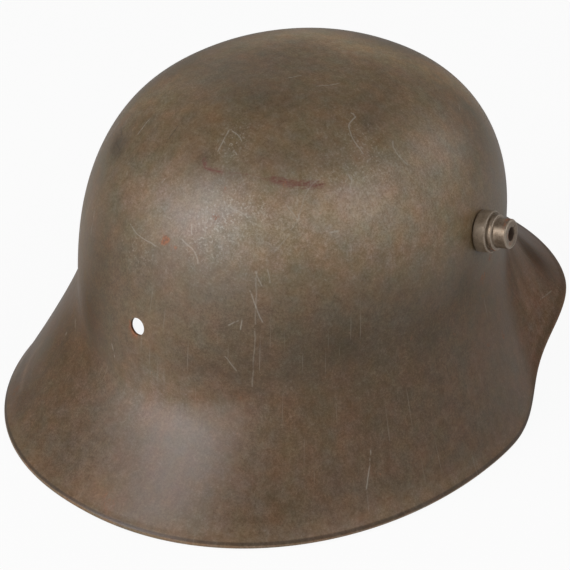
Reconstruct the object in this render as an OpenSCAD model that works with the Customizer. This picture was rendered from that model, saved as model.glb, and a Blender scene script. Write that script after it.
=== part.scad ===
// Steel combat helmet with a visor, a flared ear and neck skirt, a rolled rim, two stepped
// vent lugs and a three-pad liner. Millimetres. The wearer faces -Y, up is +Z, the rim rests
// on Z = 0, and the wearer's left is +X. Angles round the helmet start at the front and
// grow towards the wearer's left.

/* [Dome] */
// Height of the crown above the resting plane
crown_h = 167; // [158:1:176]
// Half width of the dome at its waist
dome_half_w = 92.5; // [88:0.5:97]
// Reach of the dome forwards
dome_front = 111; // [105:1:117]
// Reach of the dome backwards
dome_rear = 105; // [99:1:111]
// Distance of the crown behind the widest line
crown_back = 3; // [0:1:8]
// Squareness of the dome's plan, 2 is an ellipse
dome_square = 2.1; // [2:0.05:2.3]
// Fullness of the dome's profile across
dome_full_out = 2.45; // [2.2:0.05:2.6]
// Fullness of the dome's profile upwards
dome_full_up = 2.3; // [2.1:0.05:2.4]
// Height of the waist at the front
waist_front = 84; // [80:1:86]
// Height of the waist at the sides
waist_side = 80; // [77:1:82]
// Height of the waist at the rear
waist_rear = 45; // [40:1:52]

/* [Visor and skirt] */
// Half width over the skirt
rim_half_w = 121.5; // [116:0.5:127]
// Reach of the visor forwards
visor_reach = 160; // [152:1:166]
// Reach of the neck guard backwards
guard_reach = 148.5; // [142:0.5:156]
// Squareness of the rim's plan
rim_square = 2.15; // [2:0.05:2.3]
// Height of the visor's rim above the resting plane
visor_h = 28.5; // [22:0.5:36]
// Height over which the visor curls out of the dome
curl_front = 28; // [22:1:32]
// Height over which the ear skirt curls out of the dome
curl_side = 18.5; // [14:0.5:24]
// Height over which the neck guard curls out of the dome
curl_rear = 12; // [9:1:16]
// Angle from the front at which the rim steps down at the temple
temple_angle = 63; // [58:1:68]
// Half of the angle that the step takes
temple_step = 19; // [15:1:23]
// How far the rim is drawn in at the temple
temple_pinch = 9.5; // [5:0.5:13]
// Half of the angle over which the rim is drawn in
pinch_spread = 13; // [10:1:17]

/* [Sheet steel] */
// Thickness of the shell
sheet = 1.2; // [1:0.1:1.4]
// Radius of the rolled rim
bead_r = 1.6; // [1.4:0.1:2]
// How far the rolled rim stands proud of the outer face
bead_swell = 0.4; // [0.2:0.1:0.6]
// Height of the rim's fold inside
hem_h = 6; // [4:0.5:8]

/* [Vent lugs] */
// Angle of a lug from the front
lug_angle = 77; // [74:0.5:82]
// Height of a lug
lug_h = 102; // [101:0.5:107]
// Diameter of the lug's base
lug_base_d = 19.2; // [18:0.2:21]
// Length of the lug's base
lug_base_l = 5.6; // [4.6:0.2:6.6]
// Diameter of the collar between base and tip
lug_collar_d = 16.6; // [16:0.2:17.4]
// Diameter of the lug's tip
lug_tip_d = 13.6; // [12.8:0.2:15]
// Whole length of the lug outside the shell
lug_l = 15; // [13:0.5:17]
// Diameter of the vent through the lug
vent_d = 5.8; // [5:0.2:6.6]
// Diameter of the lug's shank in the shell
lug_shank_d = 11; // [10.6:0.2:11.6]
// Diameter of the lug's washer inside
lug_washer_d = 15.5; // [14.6:0.1:15.8]

/* [Liner pins] */
// Diameter of the pin holes in the shell
pin_hole_d = 8; // [7.6:0.2:9]
// Angle of the front pins from the front
front_pin_angle = 35; // [34:0.5:36]
// Diameter of the domed pin heads
pin_head_d = 13.5; // [12:0.5:15]
// Height of the domed pin heads
pin_head_h = 2.8; // [2.2:0.2:3.4]
// Width of a pin's leg
pin_leg_w = 5; // [4:0.2:5.2]
// Thickness of a pin's leg
pin_leg_t = 1.9; // [1.4:0.1:2.1]
// Length of a leg's bent arm
pin_arm_l = 10; // [8:0.5:11]
// Diameter of the pins' washers
pin_washer_d = 13; // [11:0.5:14]
// Thickness of all washers
washer_t = 0.9; // [0.7:0.1:1.1]

/* [Liner band] */
// Height of the pin line at the front
band_front_h = 88; // [86:0.5:90]
// Free height between a lug's washer and the band
lug_band_gap = 2.75; // [2.25:0.25:4]
// Height of the pin line at the rear
band_rear_h = 74; // [70:1:76]
// Height of the band
band_h = 24; // [21:0.5:24.5]
// Thickness of the band
band_t = 1; // [0.8:0.1:1.2]
// Length of the band's slot behind the rear pin hole
rear_slot_l = 17; // [15:1:22]
// Height of the band's slot behind the rear pin hole
rear_slot_h = 10; // [9:0.5:12]

/* [Leather pads] */
// Half of the angle that the front pad covers
front_pad_half = 30; // [27:0.5:30]
// Angle at which a rear pad starts
rear_pad_start = 69.5; // [69:0.5:73]
// Angle at which a rear pad ends
rear_pad_end = 168; // [160:1:168]
// Thickness of the leather
leather_t = 1.8; // [1.4:0.1:2.2]
// Distance of the finger tips below the dome's outer face
crown_room = 30; // [26:1:34]
// Share of the way up at which a pad splits in two fingers
slit_start = 0.42; // [0.36:0.02:0.5]
// Half width of a finger's tip, as an angle round the crown
tip_half = 18; // [15:1:21]
// Diameter of the lace holes
lace_hole_d = 6.4; // [6.2:0.2:7]
// Diameter of the lace
lace_d = 1.8; // [1.4:0.1:2]
// Thickness of the horsehair cushions
cushion_t = 12; // [9:0.5:13]
// Thickness of the pocket's linen
linen_t = 0.7; // [0.5:0.1:0.9]
// Diameter of the pad rivets' heads
rivet_head_d = 6; // [5:0.2:6.4]
// Diameter of the rivets' shanks
rivet_d = 2.4; // [2:0.1:3]

/* [Chin-strap loops] */
// Angle of a loop from the front
bail_angle = 61.5; // [60.5:0.5:62]
// Diameter of the loop's wire
wire_d = 3; // [2.4:0.2:3.2]
// Width of the loop between wire centres
bail_w = 22; // [20:0.5:23]
// Height of the loop between wire centres
bail_h = 19; // [15:1:22]
// Radius of the loop's corners at the wire centre
bail_corner = 4; // [3:0.5:6]
// Width of the bracket
bracket_w = 12; // [10:0.5:13]
// Thickness of the bracket
bracket_t = 1; // [0.8:0.1:1.2]
// Distance of the loop's hinge below the band
hinge_drop = 5.5; // [5:0.5:8]

/* [Hidden] */

$fn = 64;
// Free space between fixed neighbours: flat faces, curved faces, and a flat piece whose
// edge bears on the hollow inside of the wall
seat = 0.1;
curved_seat = 0.35;
hollow_seat = 0.7;
// Free space round the swinging loops' wires
run_gap = 0.35;

// Steps round the shell and along its profile
around = 84;
dome_rows = 13;
skirt_rows = 8;
inner_dome_rows = 10;
inner_skirt_rows = 6;
// Length of rim beyond which the bead takes over from the skirt
bead_lead = 2;
// Wall height that stands for one degree below the waist
wall_per_degree = 1.5;

// Shape functions

function signed_pow(v, e) = sign(v) * pow(abs(v), e);
function ease(a, b, v) = let (k = min(1, max(0, (v - a) / (b - a)))) k * k * (3 - 2 * k);
function lerp(a, b, k) = a + (b - a) * k;
function unit(v) = v / norm(v);
function from_front(th) = abs(atan2(sin(th), cos(th)));

// A value that blends from the side to the front or the rear
function by_side(th, front, side, rear) =
    side + ((cos(th) > 0 ? front : rear) - side) * cos(th) * cos(th);

// A rounded plan outline
function plan(th, half_w, front, rear, square) = [
    half_w * signed_pow(sin(th), 2 / square),
    -(cos(th) > 0 ? front : rear) * signed_pow(cos(th), 2 / square)];

function waist(th) = concat(
    plan(th, dome_half_w, dome_front, dome_rear, dome_square),
    [by_side(th, waist_front, waist_side, waist_rear)]);

// The rim line: high round the visor, stepping down and drawn in at the temples
function rim(th) =
    let (
        a = from_front(th),
        pinch = 1 - temple_pinch / rim_half_w * exp(-pow((a - temple_angle) / pinch_spread, 2)),
        step = ease(temple_angle - temple_step, temple_angle + temple_step, a))
    concat(
        pinch * plan(th, rim_half_w, visor_reach, guard_reach, rim_square),
        [visor_h * (1 - step)]);

// The dome's outer face: up runs from 0 at the waist to 90 at the crown
function dome_at(th, up) =
    let (
        w = waist(th),
        out = pow(cos(up), 2 / dome_full_out),
        rise = pow(sin(up), 2 / dome_full_up))
    [w.x * out, crown_back * (1 - out) + w.y * out, w.z + (crown_h - w.z) * rise];

function curl_point(th) =
    waist(th) - [0, 0, by_side(th, curl_front, curl_side, curl_rear)];

// The skirt's outer face: q runs from 0 at the waist to 1 at the rim
function skirt_at(th, q) =
    (1 - q) * (1 - q) * waist(th) + 2 * q * (1 - q) * curl_point(th) + q * q * rim(th);

// The whole outer face: v is 0 at the crown, 1 at the waist and 2 at the rim
function shell_at(th, v) = v > 1 ? skirt_at(th, v - 1) : dome_at(th, 90 * (1 - v));

function face_out(du, dv) = unit(cross(dv, du));
function shell_out(th, v) = face_out(
    shell_at(th + 0.1, v) - shell_at(th - 0.1, v),
    shell_at(th, v + 0.002) - shell_at(th, v - 0.002));

// The wall that the liner follows: the dome above the waist, upright below it
function wall_at(th, up) =
    up > 0 ? dome_at(th, up) : waist(th) + [0, 0, up * wall_per_degree];
function wall_out(th, up) = face_out(
    wall_at(th + 0.1, up) - wall_at(th - 0.1, up),
    wall_at(th, up - 0.1) - wall_at(th, up + 0.1));
function wall_up(th, z) =
    let (w = waist(th))
    z < w.z
        ? (z - w.z) / wall_per_degree
        : asin(pow((z - w.z) / (crown_h - w.z), dome_full_up / 2));

// The rolled rim: its centre line and the section round it
function rim_down(th) = unit(rim(th) - curl_point(th));
function rim_out(th) = face_out(rim(th + 0.1) - rim(th - 0.1), rim_down(th));
function bead_back(th) = (bead_r + rim_out(th).z * (bead_r - bead_swell)) / -rim_down(th).z;
function bead_centre(th) =
    rim(th) - bead_back(th) * rim_down(th) - (bead_r - bead_swell) * rim_out(th);
function bead_at(th, a) = bead_centre(th) + bead_r * (cos(a) * rim_down(th) + sin(a) * rim_out(th));
function last_q(th, back) = 1 - (bead_back(th) + back) / (2 * norm(rim(th) - curl_point(th)));

// The middle between the visor's tip and the neck guard's tip
mid_y = (bead_centre(0).y - bead_r + bead_centre(180).y + bead_r) / 2;

// Heights and places of the liner

// Height of the pin line at the sides, with the band just below the lugs' washers
band_side_h = lug_h - lug_washer_d / 2 - lug_band_gap - band_h / 2;
function band_mid(th) = by_side(th, band_front_h, band_side_h, band_rear_h);
band_out = sheet + curved_seat;
band_in = band_out + band_t;
leather_out = band_in + curved_seat;
pad_lift = 2;

// The leather's outer face: v runs from the band to the finger tips
lining_flat = 0.06;
lining_lean = 1.5;
tip_up = 76;
function lining_depth(v) =
    let (k = min(1, max(0, v - lining_flat) / (1 - lining_flat)))
    lerp(leather_out, crown_room, 1 - pow(1 - k, lining_lean));
function lining_up(th, v) = lerp(wall_up(th, band_mid(th) - band_h / 2 + pad_lift), tip_up, v);
function lining_at(th, v) =
    let (up = lining_up(th, v))
    wall_at(th, up) - lining_depth(v) * wall_out(th, up);
function lining_out(th, v) = face_out(
    lining_at(th + 0.1, v) - lining_at(th - 0.1, v),
    lining_at(th, v - 0.002) - lining_at(th, v + 0.002));

// Frames that stand pieces on the wall

// Origin on the outer face, +Z outwards along the face's normal, +Y up the face
module on_wall(th, z) {
    up = wall_up(th, z);
    n = wall_out(th, up);
    turn = atan2(n.y, n.x);
    tilt = acos(n.z);
    translate(wall_at(th, up)) rotate([0, tilt, turn]) rotate([0, 0, 90]) children();
}

// Origin at the same place, +X outwards and level, +Y forwards or back along the wall
module beside_wall(th, z) {
    up = wall_up(th, z);
    n = wall_out(th, up);
    translate(wall_at(th, up)) rotate([0, 0, atan2(n.y, n.x)]) children();
}

module placed() {
    translate([0, -mid_y, 0]) children();
}

module on_right() {
    mirror([1, 0, 0]) children();
}

// Closed bodies from rings and grids

// A ring-shaped body: one closed section for each angle round the helmet
module closed_ring(sections) {
    n = len(sections);
    m = len(sections[0]);
    polyhedron(
        points = [for (s = sections) each s],
        faces = [for (i = [0:n - 1], j = [0:m - 1])
            let (
                a = i * m + j, b = (i + 1) % n * m + j,
                c = (i + 1) % n * m + (j + 1) % m, d = i * m + (j + 1) % m)
            each [[a, b, c], [a, c, d]]],
        convexity = 8);
}

// A sheet between two faces of a grid: front[i][j] and back[i][j], i round, j upwards
module closed_sheet(front, back) {
    n = len(front);
    m = len(front[0]);
    k = n * m;
    function f(i, j) = i * m + j;
    polyhedron(
        points = concat([for (r = front) each r], [for (r = back) each r]),
        faces = concat(
            [for (i = [0:n - 2], j = [0:m - 2]) each [
                [f(i, j), f(i, j + 1), f(i + 1, j + 1)],
                [f(i, j), f(i + 1, j + 1), f(i + 1, j)],
                [k + f(i, j), k + f(i + 1, j + 1), k + f(i, j + 1)],
                [k + f(i, j), k + f(i + 1, j), k + f(i + 1, j + 1)]]],
            [for (i = [0:n - 2]) each [
                [f(i, 0), f(i + 1, 0), k + f(i + 1, 0)],
                [f(i, 0), k + f(i + 1, 0), k + f(i, 0)],
                [f(i, m - 1), k + f(i + 1, m - 1), f(i + 1, m - 1)],
                [f(i, m - 1), k + f(i, m - 1), k + f(i + 1, m - 1)]]],
            [for (j = [0:m - 2]) each [
                [f(0, j), k + f(0, j + 1), f(0, j + 1)],
                [f(0, j), k + f(0, j), k + f(0, j + 1)],
                [f(n - 1, j), f(n - 1, j + 1), k + f(n - 1, j + 1)],
                [f(n - 1, j), k + f(n - 1, j + 1), k + f(n - 1, j)]]]),
        convexity = 8);
}

// Shell

function steps(from, to, count) = [for (i = [0:count]) lerp(from, to, i / count)];

// One meridian of the shell: down the outer face, round the rim and up the inner face
function shell_section(th) =
    let (
        q_out = last_q(th, bead_lead),
        q_hem = last_q(th, hem_h),
        hem_depth = 2 * bead_r - bead_swell)
    concat(
        [for (v = steps(1 / dome_rows, 1, dome_rows - 1)) shell_at(th, v)],
        [for (i = [1:skirt_rows]) skirt_at(th, q_out * i / skirt_rows)],
        [for (a = [75:-30:-75]) bead_at(th, a)],
        [bead_at(th, -90)],
        [let (v = 1 + q_hem) shell_at(th, v) - hem_depth * shell_out(th, v)],
        [let (v = 1 + q_hem - 0.012) shell_at(th, v) - sheet * shell_out(th, v)],
        [for (i = [inner_skirt_rows - 1:-1:1])
            let (v = 1 + q_hem * i / inner_skirt_rows) shell_at(th, v) - sheet * shell_out(th, v)],
        [for (v = steps(1, 1 / inner_dome_rows, inner_dome_rows - 1))
            shell_at(th, v) - sheet * shell_out(th, v)]);

module shell_bowl() {
    sections = [for (i = [0:around - 1]) shell_section(360 * i / around)];
    m = len(sections[0]);
    top = around * m;
    polyhedron(
        points = concat(
            [for (s = sections) each s],
            [[0, crown_back, crown_h], [0, crown_back, crown_h - sheet]]),
        faces = concat(
            [for (i = [0:around - 1], j = [0:m - 2])
                let (
                    a = i * m + j, b = (i + 1) % around * m + j,
                    c = (i + 1) % around * m + j + 1, d = i * m + j + 1)
                each [[a, b, c], [a, c, d]]],
            [for (i = [0:around - 1])
                let (a = i * m, b = (i + 1) % around * m)
                each [[top, b, a], [top + 1, a + m - 1, b + m - 1]]]),
        convexity = 8);
}

// Length of a cutter that goes through the wall or the band
cutter_l = 12;

module wall_hole(th, z, d) {
    on_wall(th, z) cylinder(d = d, h = cutter_l, center = true);
}

module shell() {
    color([0.40, 0.36, 0.28]) difference() {
        shell_bowl();
        for (side = [-1, 1]) {
            wall_hole(side * lug_angle, lug_h, lug_shank_d + 2 * seat);
            wall_hole(side * front_pin_angle, band_mid(front_pin_angle), pin_hole_d);
        }
        wall_hole(180, band_rear_h, pin_hole_d);
    }
}

// Vent lugs

washer_depth = sheet + hollow_seat;
peen_depth = washer_depth + washer_t + seat;
peen_t = 0.9;

// Profile of a lug, anticlockwise from the turned-over end of its shank
module lug_form() {
    base_r = lug_base_d / 2;
    collar_r = lug_collar_d / 2;
    tip_r = lug_tip_d / 2;
    shank_r = lug_shank_d / 2;
    vent_r = vent_d / 2;
    flange_r = shank_r + 1.4;
    flare_r = vent_r + 1.4;
    foot = 0.4;
    edge = 0.8;
    break_edge = edge * 0.3;
    collar_top = lug_base_l + 0.9;
    fillet = 0.5;
    mouth_r = vent_r + 0.9;
    mouth_depth = 1.2;
    rotate_extrude() polygon([
        [flare_r, -peen_depth - peen_t],
        [flange_r, -peen_depth - peen_t],
        [flange_r, -peen_depth],
        [shank_r, -peen_depth],
        [shank_r, seat],
        [base_r - foot, seat],
        [base_r, seat + foot],
        [base_r, lug_base_l - edge],
        [base_r - break_edge, lug_base_l - break_edge],
        [base_r - edge, lug_base_l],
        [collar_r, lug_base_l],
        [collar_r, collar_top - foot],
        [collar_r - foot, collar_top],
        [tip_r + fillet, collar_top],
        [tip_r, collar_top + fillet],
        [tip_r, lug_l - edge],
        [tip_r - break_edge, lug_l - break_edge],
        [tip_r - edge, lug_l],
        [mouth_r, lug_l],
        [vent_r + break_edge, lug_l - fillet],
        [vent_r, lug_l - mouth_depth],
        [vent_r, lug_base_l],
        [flare_r, lug_base_l - flare_r + vent_r]]);
}

module lug_washer_form() {
    rotate_extrude() translate([lug_shank_d / 2 + seat, -washer_depth - washer_t])
        square([lug_washer_d / 2 - lug_shank_d / 2 - seat, washer_t]);
}

module left_lug() {
    color([0.50, 0.46, 0.40]) on_wall(lug_angle, lug_h) lug_form();
}

module right_lug() {
    on_right() left_lug();
}

module left_lug_washer() {
    color([0.42, 0.38, 0.32]) on_wall(lug_angle, lug_h) lug_washer_form();
}

module right_lug_washer() {
    on_right() left_lug_washer();
}

// Liner band

function band_section(th) =
    let (
        at = function (rise, depth)
            let (up = wall_up(th, band_mid(th) + rise))
            wall_at(th, up) - depth * wall_out(th, up))
    concat(
        [for (r = [band_h / 2, 0, -band_h / 2]) at(r, band_out)],
        [for (r = [-band_h / 2, 0, band_h / 2]) at(r, band_in)]);

pin_clear_d = pin_hole_d + 0.4;
rivet_clear_d = rivet_d + 2 * seat;
pad_rivet_rise = pad_lift + 4 - band_h / 2;
rivet_edge = 9;
pad_rivet_angles = concat(
    [for (k = [-1:1]) k * (front_pad_half - rivet_edge)],
    [for (side = [-1, 1], k = [0:2])
        side * lerp(rear_pad_start + rivet_edge, rear_pad_end - rivet_edge, k / 2)]);

module liner_band() {
    color([0.36, 0.35, 0.33]) difference() {
        closed_ring([for (i = [0:around - 1]) band_section(360 * i / around)]);
        for (side = [-1, 1]) {
            wall_hole(side * front_pin_angle, band_mid(front_pin_angle), pin_clear_d);
            for (rise = bail_rivet_rises)
                wall_hole(side * bail_angle, band_mid(bail_angle) + rise, rivet_clear_d);
        }
        on_wall(180, band_rear_h) {
            for (side = [-1, 1])
                translate([side * (rear_slot_l - rear_slot_h) / 2, 0, 0])
                    cylinder(d = rear_slot_h, h = cutter_l, center = true);
            cube([rear_slot_l - rear_slot_h, rear_slot_h, cutter_l], center = true);
        }
        for (a = pad_rivet_angles) wall_hole(a, band_mid(a) + pad_rivet_rise, rivet_clear_d);
    }
}

// Split pins

pin_washer_depth = band_in + hollow_seat;
leg_turn_depth = pin_washer_depth + washer_t + seat;
leg_bend_r = 0.4;
leg_gap = 0.3;

// One leg: straight through the wall, round a bend, and flat against the washer
module pin_leg() {
    straight = leg_turn_depth - leg_bend_r;
    bend_y = leg_gap / 2 + pin_leg_t + leg_bend_r;
    translate([-pin_leg_w / 2, leg_gap / 2, -straight]) cube([pin_leg_w, pin_leg_t, straight + 1]);
    translate([0, bend_y, -straight]) rotate([-90, 0, -90])
        rotate_extrude(angle = 90) translate([leg_bend_r, -pin_leg_w / 2])
            square([pin_leg_t, pin_leg_w]);
    translate([0, bend_y, -leg_turn_depth - pin_leg_t]) linear_extrude(pin_leg_t) {
        translate([-pin_leg_w / 2, 0]) square([pin_leg_w, pin_arm_l - pin_leg_w / 2]);
        translate([0, pin_arm_l - pin_leg_w / 2]) circle(d = pin_leg_w);
    }
}

module pin_form() {
    head_r = pin_head_d / 2;
    ball_r = (head_r * head_r + pin_head_h * pin_head_h) / (2 * pin_head_h);
    translate([0, 0, curved_seat]) intersection() {
        translate([0, 0, pin_head_h - ball_r]) sphere(r = ball_r, $fn = 96);
        cylinder(r = head_r, h = pin_head_h + 1);
    }
    for (side = [0, 1]) mirror([0, side, 0]) pin_leg();
}

module pin_washer_form() {
    translate([0, 0, -pin_washer_depth - washer_t]) difference() {
        cylinder(d = pin_washer_d, h = washer_t);
        cylinder(d = pin_hole_d, h = cutter_l, center = true);
    }
}

module front_left_pin() {
    color([0.42, 0.38, 0.31]) on_wall(front_pin_angle, band_mid(front_pin_angle)) pin_form();
}

module front_right_pin() {
    on_right() front_left_pin();
}

module front_left_pin_washer() {
    color([0.45, 0.43, 0.40])
        on_wall(front_pin_angle, band_mid(front_pin_angle)) pin_washer_form();
}

module front_right_pin_washer() {
    on_right() front_left_pin_washer();
}

// Leather pads

pad_rows = 13;
finger_cols = 6;
tip_round = 0.12;
lace_v = 0.9;
// Angles round the crown at which the finger tips gather
front_tips = [-30, 30];
rear_tips = [90, 150];

// Angle round the helmet of a point of a finger: it drifts from its place on the band
// to its place round the crown
function finger_angle(base, crown, v) = lerp(base, crown, ease(slit_start * 0.7, 1, v));

// Points of one face of a pad, depth below the lining's outer face. Column finger_cols is
// there twice, once for each finger's side of the slit.
function pad_face(start, end, crowns, depth) = [
    for (i = [0:2 * finger_cols + 1])
        let (
            finger = i > finger_cols ? 1 : 0,
            col = i - finger,
            u = 2 * (col - finger * finger_cols) / finger_cols - 1,
            base = lerp(start, end, col / (2 * finger_cols)),
            crown = crowns[finger] + u * tip_half)
        [for (j = [0:pad_rows])
            let (
                v = j / pad_rows * (1 - tip_round * pow(u, 4) * ease(slit_start, 1, j / pad_rows)),
                th = finger_angle(base, crown, v))
            lining_at(th, v) - depth * lining_out(th, v)]];

// A pad is one body: below the slit the two middle columns are the same points
module pad_form(start, end, crowns) {
    outer = pad_face(start, end, crowns, 0);
    inner = pad_face(start, end, crowns, leather_t);
    m = pad_rows + 1;
    k = (2 * finger_cols + 2) * m;
    slit_row = round(slit_start * pad_rows);
    function p(i, j) = (i == finger_cols + 1 && j <= slit_row ? i - 1 : i) * m + j;
    cells = [for (i = [0:2 * finger_cols]) if (i != finger_cols) i];
    polyhedron(
        points = concat([for (r = outer) each r], [for (r = inner) each r]),
        faces = concat(
            [for (i = cells, j = [0:pad_rows - 1]) each [
                [p(i, j), p(i, j + 1), p(i + 1, j + 1)],
                [p(i, j), p(i + 1, j + 1), p(i + 1, j)],
                [k + p(i, j), k + p(i + 1, j + 1), k + p(i, j + 1)],
                [k + p(i, j), k + p(i + 1, j), k + p(i + 1, j + 1)]]],
            [for (i = cells) each [
                [p(i, 0), p(i + 1, 0), k + p(i + 1, 0)],
                [p(i, 0), k + p(i + 1, 0), k + p(i, 0)],
                [p(i, m - 1), k + p(i + 1, m - 1), p(i + 1, m - 1)],
                [p(i, m - 1), k + p(i, m - 1), k + p(i + 1, m - 1)]]],
            [for (i = [0, finger_cols + 1], j = [i == 0 ? 0 : slit_row:pad_rows - 1]) each [
                [p(i, j), k + p(i, j + 1), p(i, j + 1)],
                [p(i, j), k + p(i, j), k + p(i, j + 1)]]],
            [for (i = [finger_cols, 2 * finger_cols + 1],
                    j = [i == finger_cols ? slit_row : 0:pad_rows - 1]) each [
                [p(i, j), p(i, j + 1), k + p(i, j + 1)],
                [p(i, j), k + p(i, j + 1), k + p(i, j)]]]),
        convexity = 8);
}

module pad(start, end, crowns) {
    color([0.45, 0.30, 0.18]) difference() {
        pad_form(start, end, crowns);
        for (c = crowns)
            translate(lining_at(c, lace_v))
                cylinder(d = lace_hole_d, h = cutter_l, center = true);
        for (a = pad_rivet_angles)
            if (a > start && a < end) wall_hole(a, band_mid(a) + pad_rivet_rise, rivet_clear_d);
    }
}

module front_pad() {
    pad(-front_pad_half, front_pad_half, front_tips);
}

module rear_left_pad() {
    pad(rear_pad_start, rear_pad_end, rear_tips);
}

module rear_right_pad() {
    on_right() rear_left_pad();
}

// Cushions and pockets

cushion_margin = 7;
cushion_low = 0.13;
cushion_high = 0.55;
cushion_seat = 0.6;
cushion_cols = 11;
cushion_rows = 8;
pocket_high = 0.36;
pocket_edge = 3;
pocket_room = 0.9;

// Thickness of a cushion at u, -1 to 1 across it, and w, 0 to 1 up it
function cushion_swell(u, w) =
    abs(u) >= 1 || w <= 0 || w >= 1 ? 0
        : cushion_t * sqrt(1 - pow(u, 4)) * pow(w, 0.9) * sqrt(1 - pow(w, 6));

function above_lining(th, v, depth) = lining_at(th, v) + depth * lining_out(th, v);

module cushion_form(start, end) {
    mid = (start + end) / 2;
    half = (end - start) / 2 - cushion_margin;
    // Rows and columns crowd towards the edges, where the cushion curves most
    us = [for (i = [0:cushion_cols]) sin(180 * i / cushion_cols - 90)];
    ws = [for (j = [0:cushion_rows]) (1 - cos(180 * j / cushion_rows)) / 2];
    edge = 0.3;
    function face(up) = [for (u = us) [for (w = ws)
        above_lining(mid + u * half, lerp(cushion_low, cushion_high, w),
            cushion_seat + (up ? edge + cushion_swell(u, w) : 0))]];
    closed_sheet(face(true), face(false));
}

module pocket_form(start, end) {
    mid = (start + end) / 2;
    half = (end - start) / 2 - cushion_margin;
    reach = 1 + pocket_edge / half;
    us = [for (i = [0:cushion_cols]) reach * sin(180 * i / cushion_cols - 90)];
    low = cushion_low - 0.03;
    full = cushion_low - 0.005;
    vs = concat([low], steps(full, pocket_high, 5));
    function lift(u, v) =
        let (w = (v - cushion_low) / (cushion_high - cushion_low), near = ease(reach, 1, abs(u)))
        near * ease(low, full, v) * (cushion_swell(u / reach, w + 0.03) + pocket_room);
    function face(depth) = [for (u = us) [for (v = vs)
        above_lining(mid + u * half, v, cushion_seat + lift(u, v) + depth)]];
    closed_sheet(face(linen_t), face(0));
}

module cushion(start, end) {
    color([0.55, 0.50, 0.42]) cushion_form(start, end);
}

module pocket(start, end) {
    color([0.66, 0.62, 0.52]) pocket_form(start, end);
}

module front_cushion() {
    cushion(-front_pad_half, front_pad_half);
}

module rear_left_cushion() {
    cushion(rear_pad_start, rear_pad_end);
}

module rear_right_cushion() {
    on_right() rear_left_cushion();
}

module front_pocket() {
    pocket(-front_pad_half, front_pad_half);
}

module rear_left_pocket() {
    pocket(rear_pad_start, rear_pad_end);
}

module rear_right_pocket() {
    on_right() rear_left_pocket();
}

// Rivets

// A rivet from the band's outer face to a domed head on what it holds, at a depth
module rivet_form(head_depth, head_d) {
    r = head_d / 2;
    head_h = head_d * 0.28;
    translate([0, 0, -head_depth]) cylinder(d = rivet_d, h = head_depth - band_out - seat);
    translate([0, 0, -head_depth]) rotate([180, 0, 0]) rotate_extrude() polygon([
        [0, 0], [r, 0], [r, head_h * 0.3], [r * 0.85, head_h * 0.65],
        [r * 0.55, head_h * 0.92], [0, head_h]]);
}

module pad_rivets() {
    color([0.52, 0.50, 0.46])
        for (a = pad_rivet_angles) on_wall(a, band_mid(a) + pad_rivet_rise)
            rivet_form(leather_out + leather_t + hollow_seat, rivet_head_d);
}

// Lace round the crown, over and under from finger to finger

lace_wave = 6;
lace_steep = 0.7;
lace_steps = 72;
lace_sides = 6;

function lace_at(th) =
    lining_at(th, lace_v)
        + [0, 0, lace_wave * signed_pow(sin(3 * (th - front_tips[1])), lace_steep) - leather_t / 2];

module crown_lace() {
    r = lace_d / 2;
    color([0.40, 0.33, 0.24]) closed_ring([
        for (i = [0:lace_steps - 1])
            let (
                th = 360 * i / lace_steps,
                along = unit(lace_at(th + 0.5) - lace_at(th - 0.5)),
                side = unit(cross([0, 0, 1], along)),
                up = cross(along, side))
            [for (k = [0:lace_sides - 1])
                lace_at(th) + r * (cos(360 * k / lace_sides) * side
                    + sin(360 * k / lace_sides) * up)]]);
}

// Chin-strap loops and their brackets

eye_bore_r = wire_d / 2 + run_gap;
eye_r = eye_bore_r + bracket_t;
plate_depth = band_in + hollow_seat;
hinge_depth = plate_depth + bracket_t / 2;
hinge_z = band_mid(bail_angle) - band_h / 2 - hinge_drop;
bail_rivet_rises = [3, -5];
bail_rivet_head_d = 5;
plate_top = band_mid(bail_angle) + bail_rivet_rises[0] + 3.5;

// Children stand with +X outwards, Y along the band and the hinge at the origin
module at_hinge() {
    beside_wall(bail_angle, band_mid(bail_angle))
        translate([-hinge_depth, 0, hinge_z - band_mid(bail_angle)]) children();
}

module bracket_form() {
    rise = plate_top - hinge_z;
    difference() {
        union() {
            rotate([90, 0, 0]) cylinder(r = eye_r, h = bracket_w, center = true);
            translate([-bracket_t / 2, -bracket_w / 2, 0]) cube([bracket_t, bracket_w, rise]);
        }
        rotate([90, 0, 0]) cylinder(r = eye_bore_r, h = bracket_w + 2, center = true);
        for (r = bail_rivet_rises)
            translate([0, 0, band_mid(bail_angle) + r - hinge_z])
                rotate([0, 90, 0]) cylinder(d = rivet_clear_d, h = 4, center = true);
    }
}

module left_bail_bracket() {
    color([0.40, 0.38, 0.35]) at_hinge() bracket_form();
}

module right_bail_bracket() {
    on_right() left_bail_bracket();
}

module bail_rivet_set() {
    for (r = bail_rivet_rises) on_wall(bail_angle, band_mid(bail_angle) + r)
        rivet_form(plate_depth + bracket_t + seat, bail_rivet_head_d);
}

module bail_rivets() {
    color([0.52, 0.50, 0.46]) {
        bail_rivet_set();
        on_right() bail_rivet_set();
    }
}

module wire_corner(y, z, turn) {
    translate([0, y, z]) rotate([0, 90, 0]) rotate([0, 0, turn])
        rotate_extrude(angle = 90) translate([bail_corner, 0]) circle(d = wire_d, $fn = 32);
}

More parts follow.
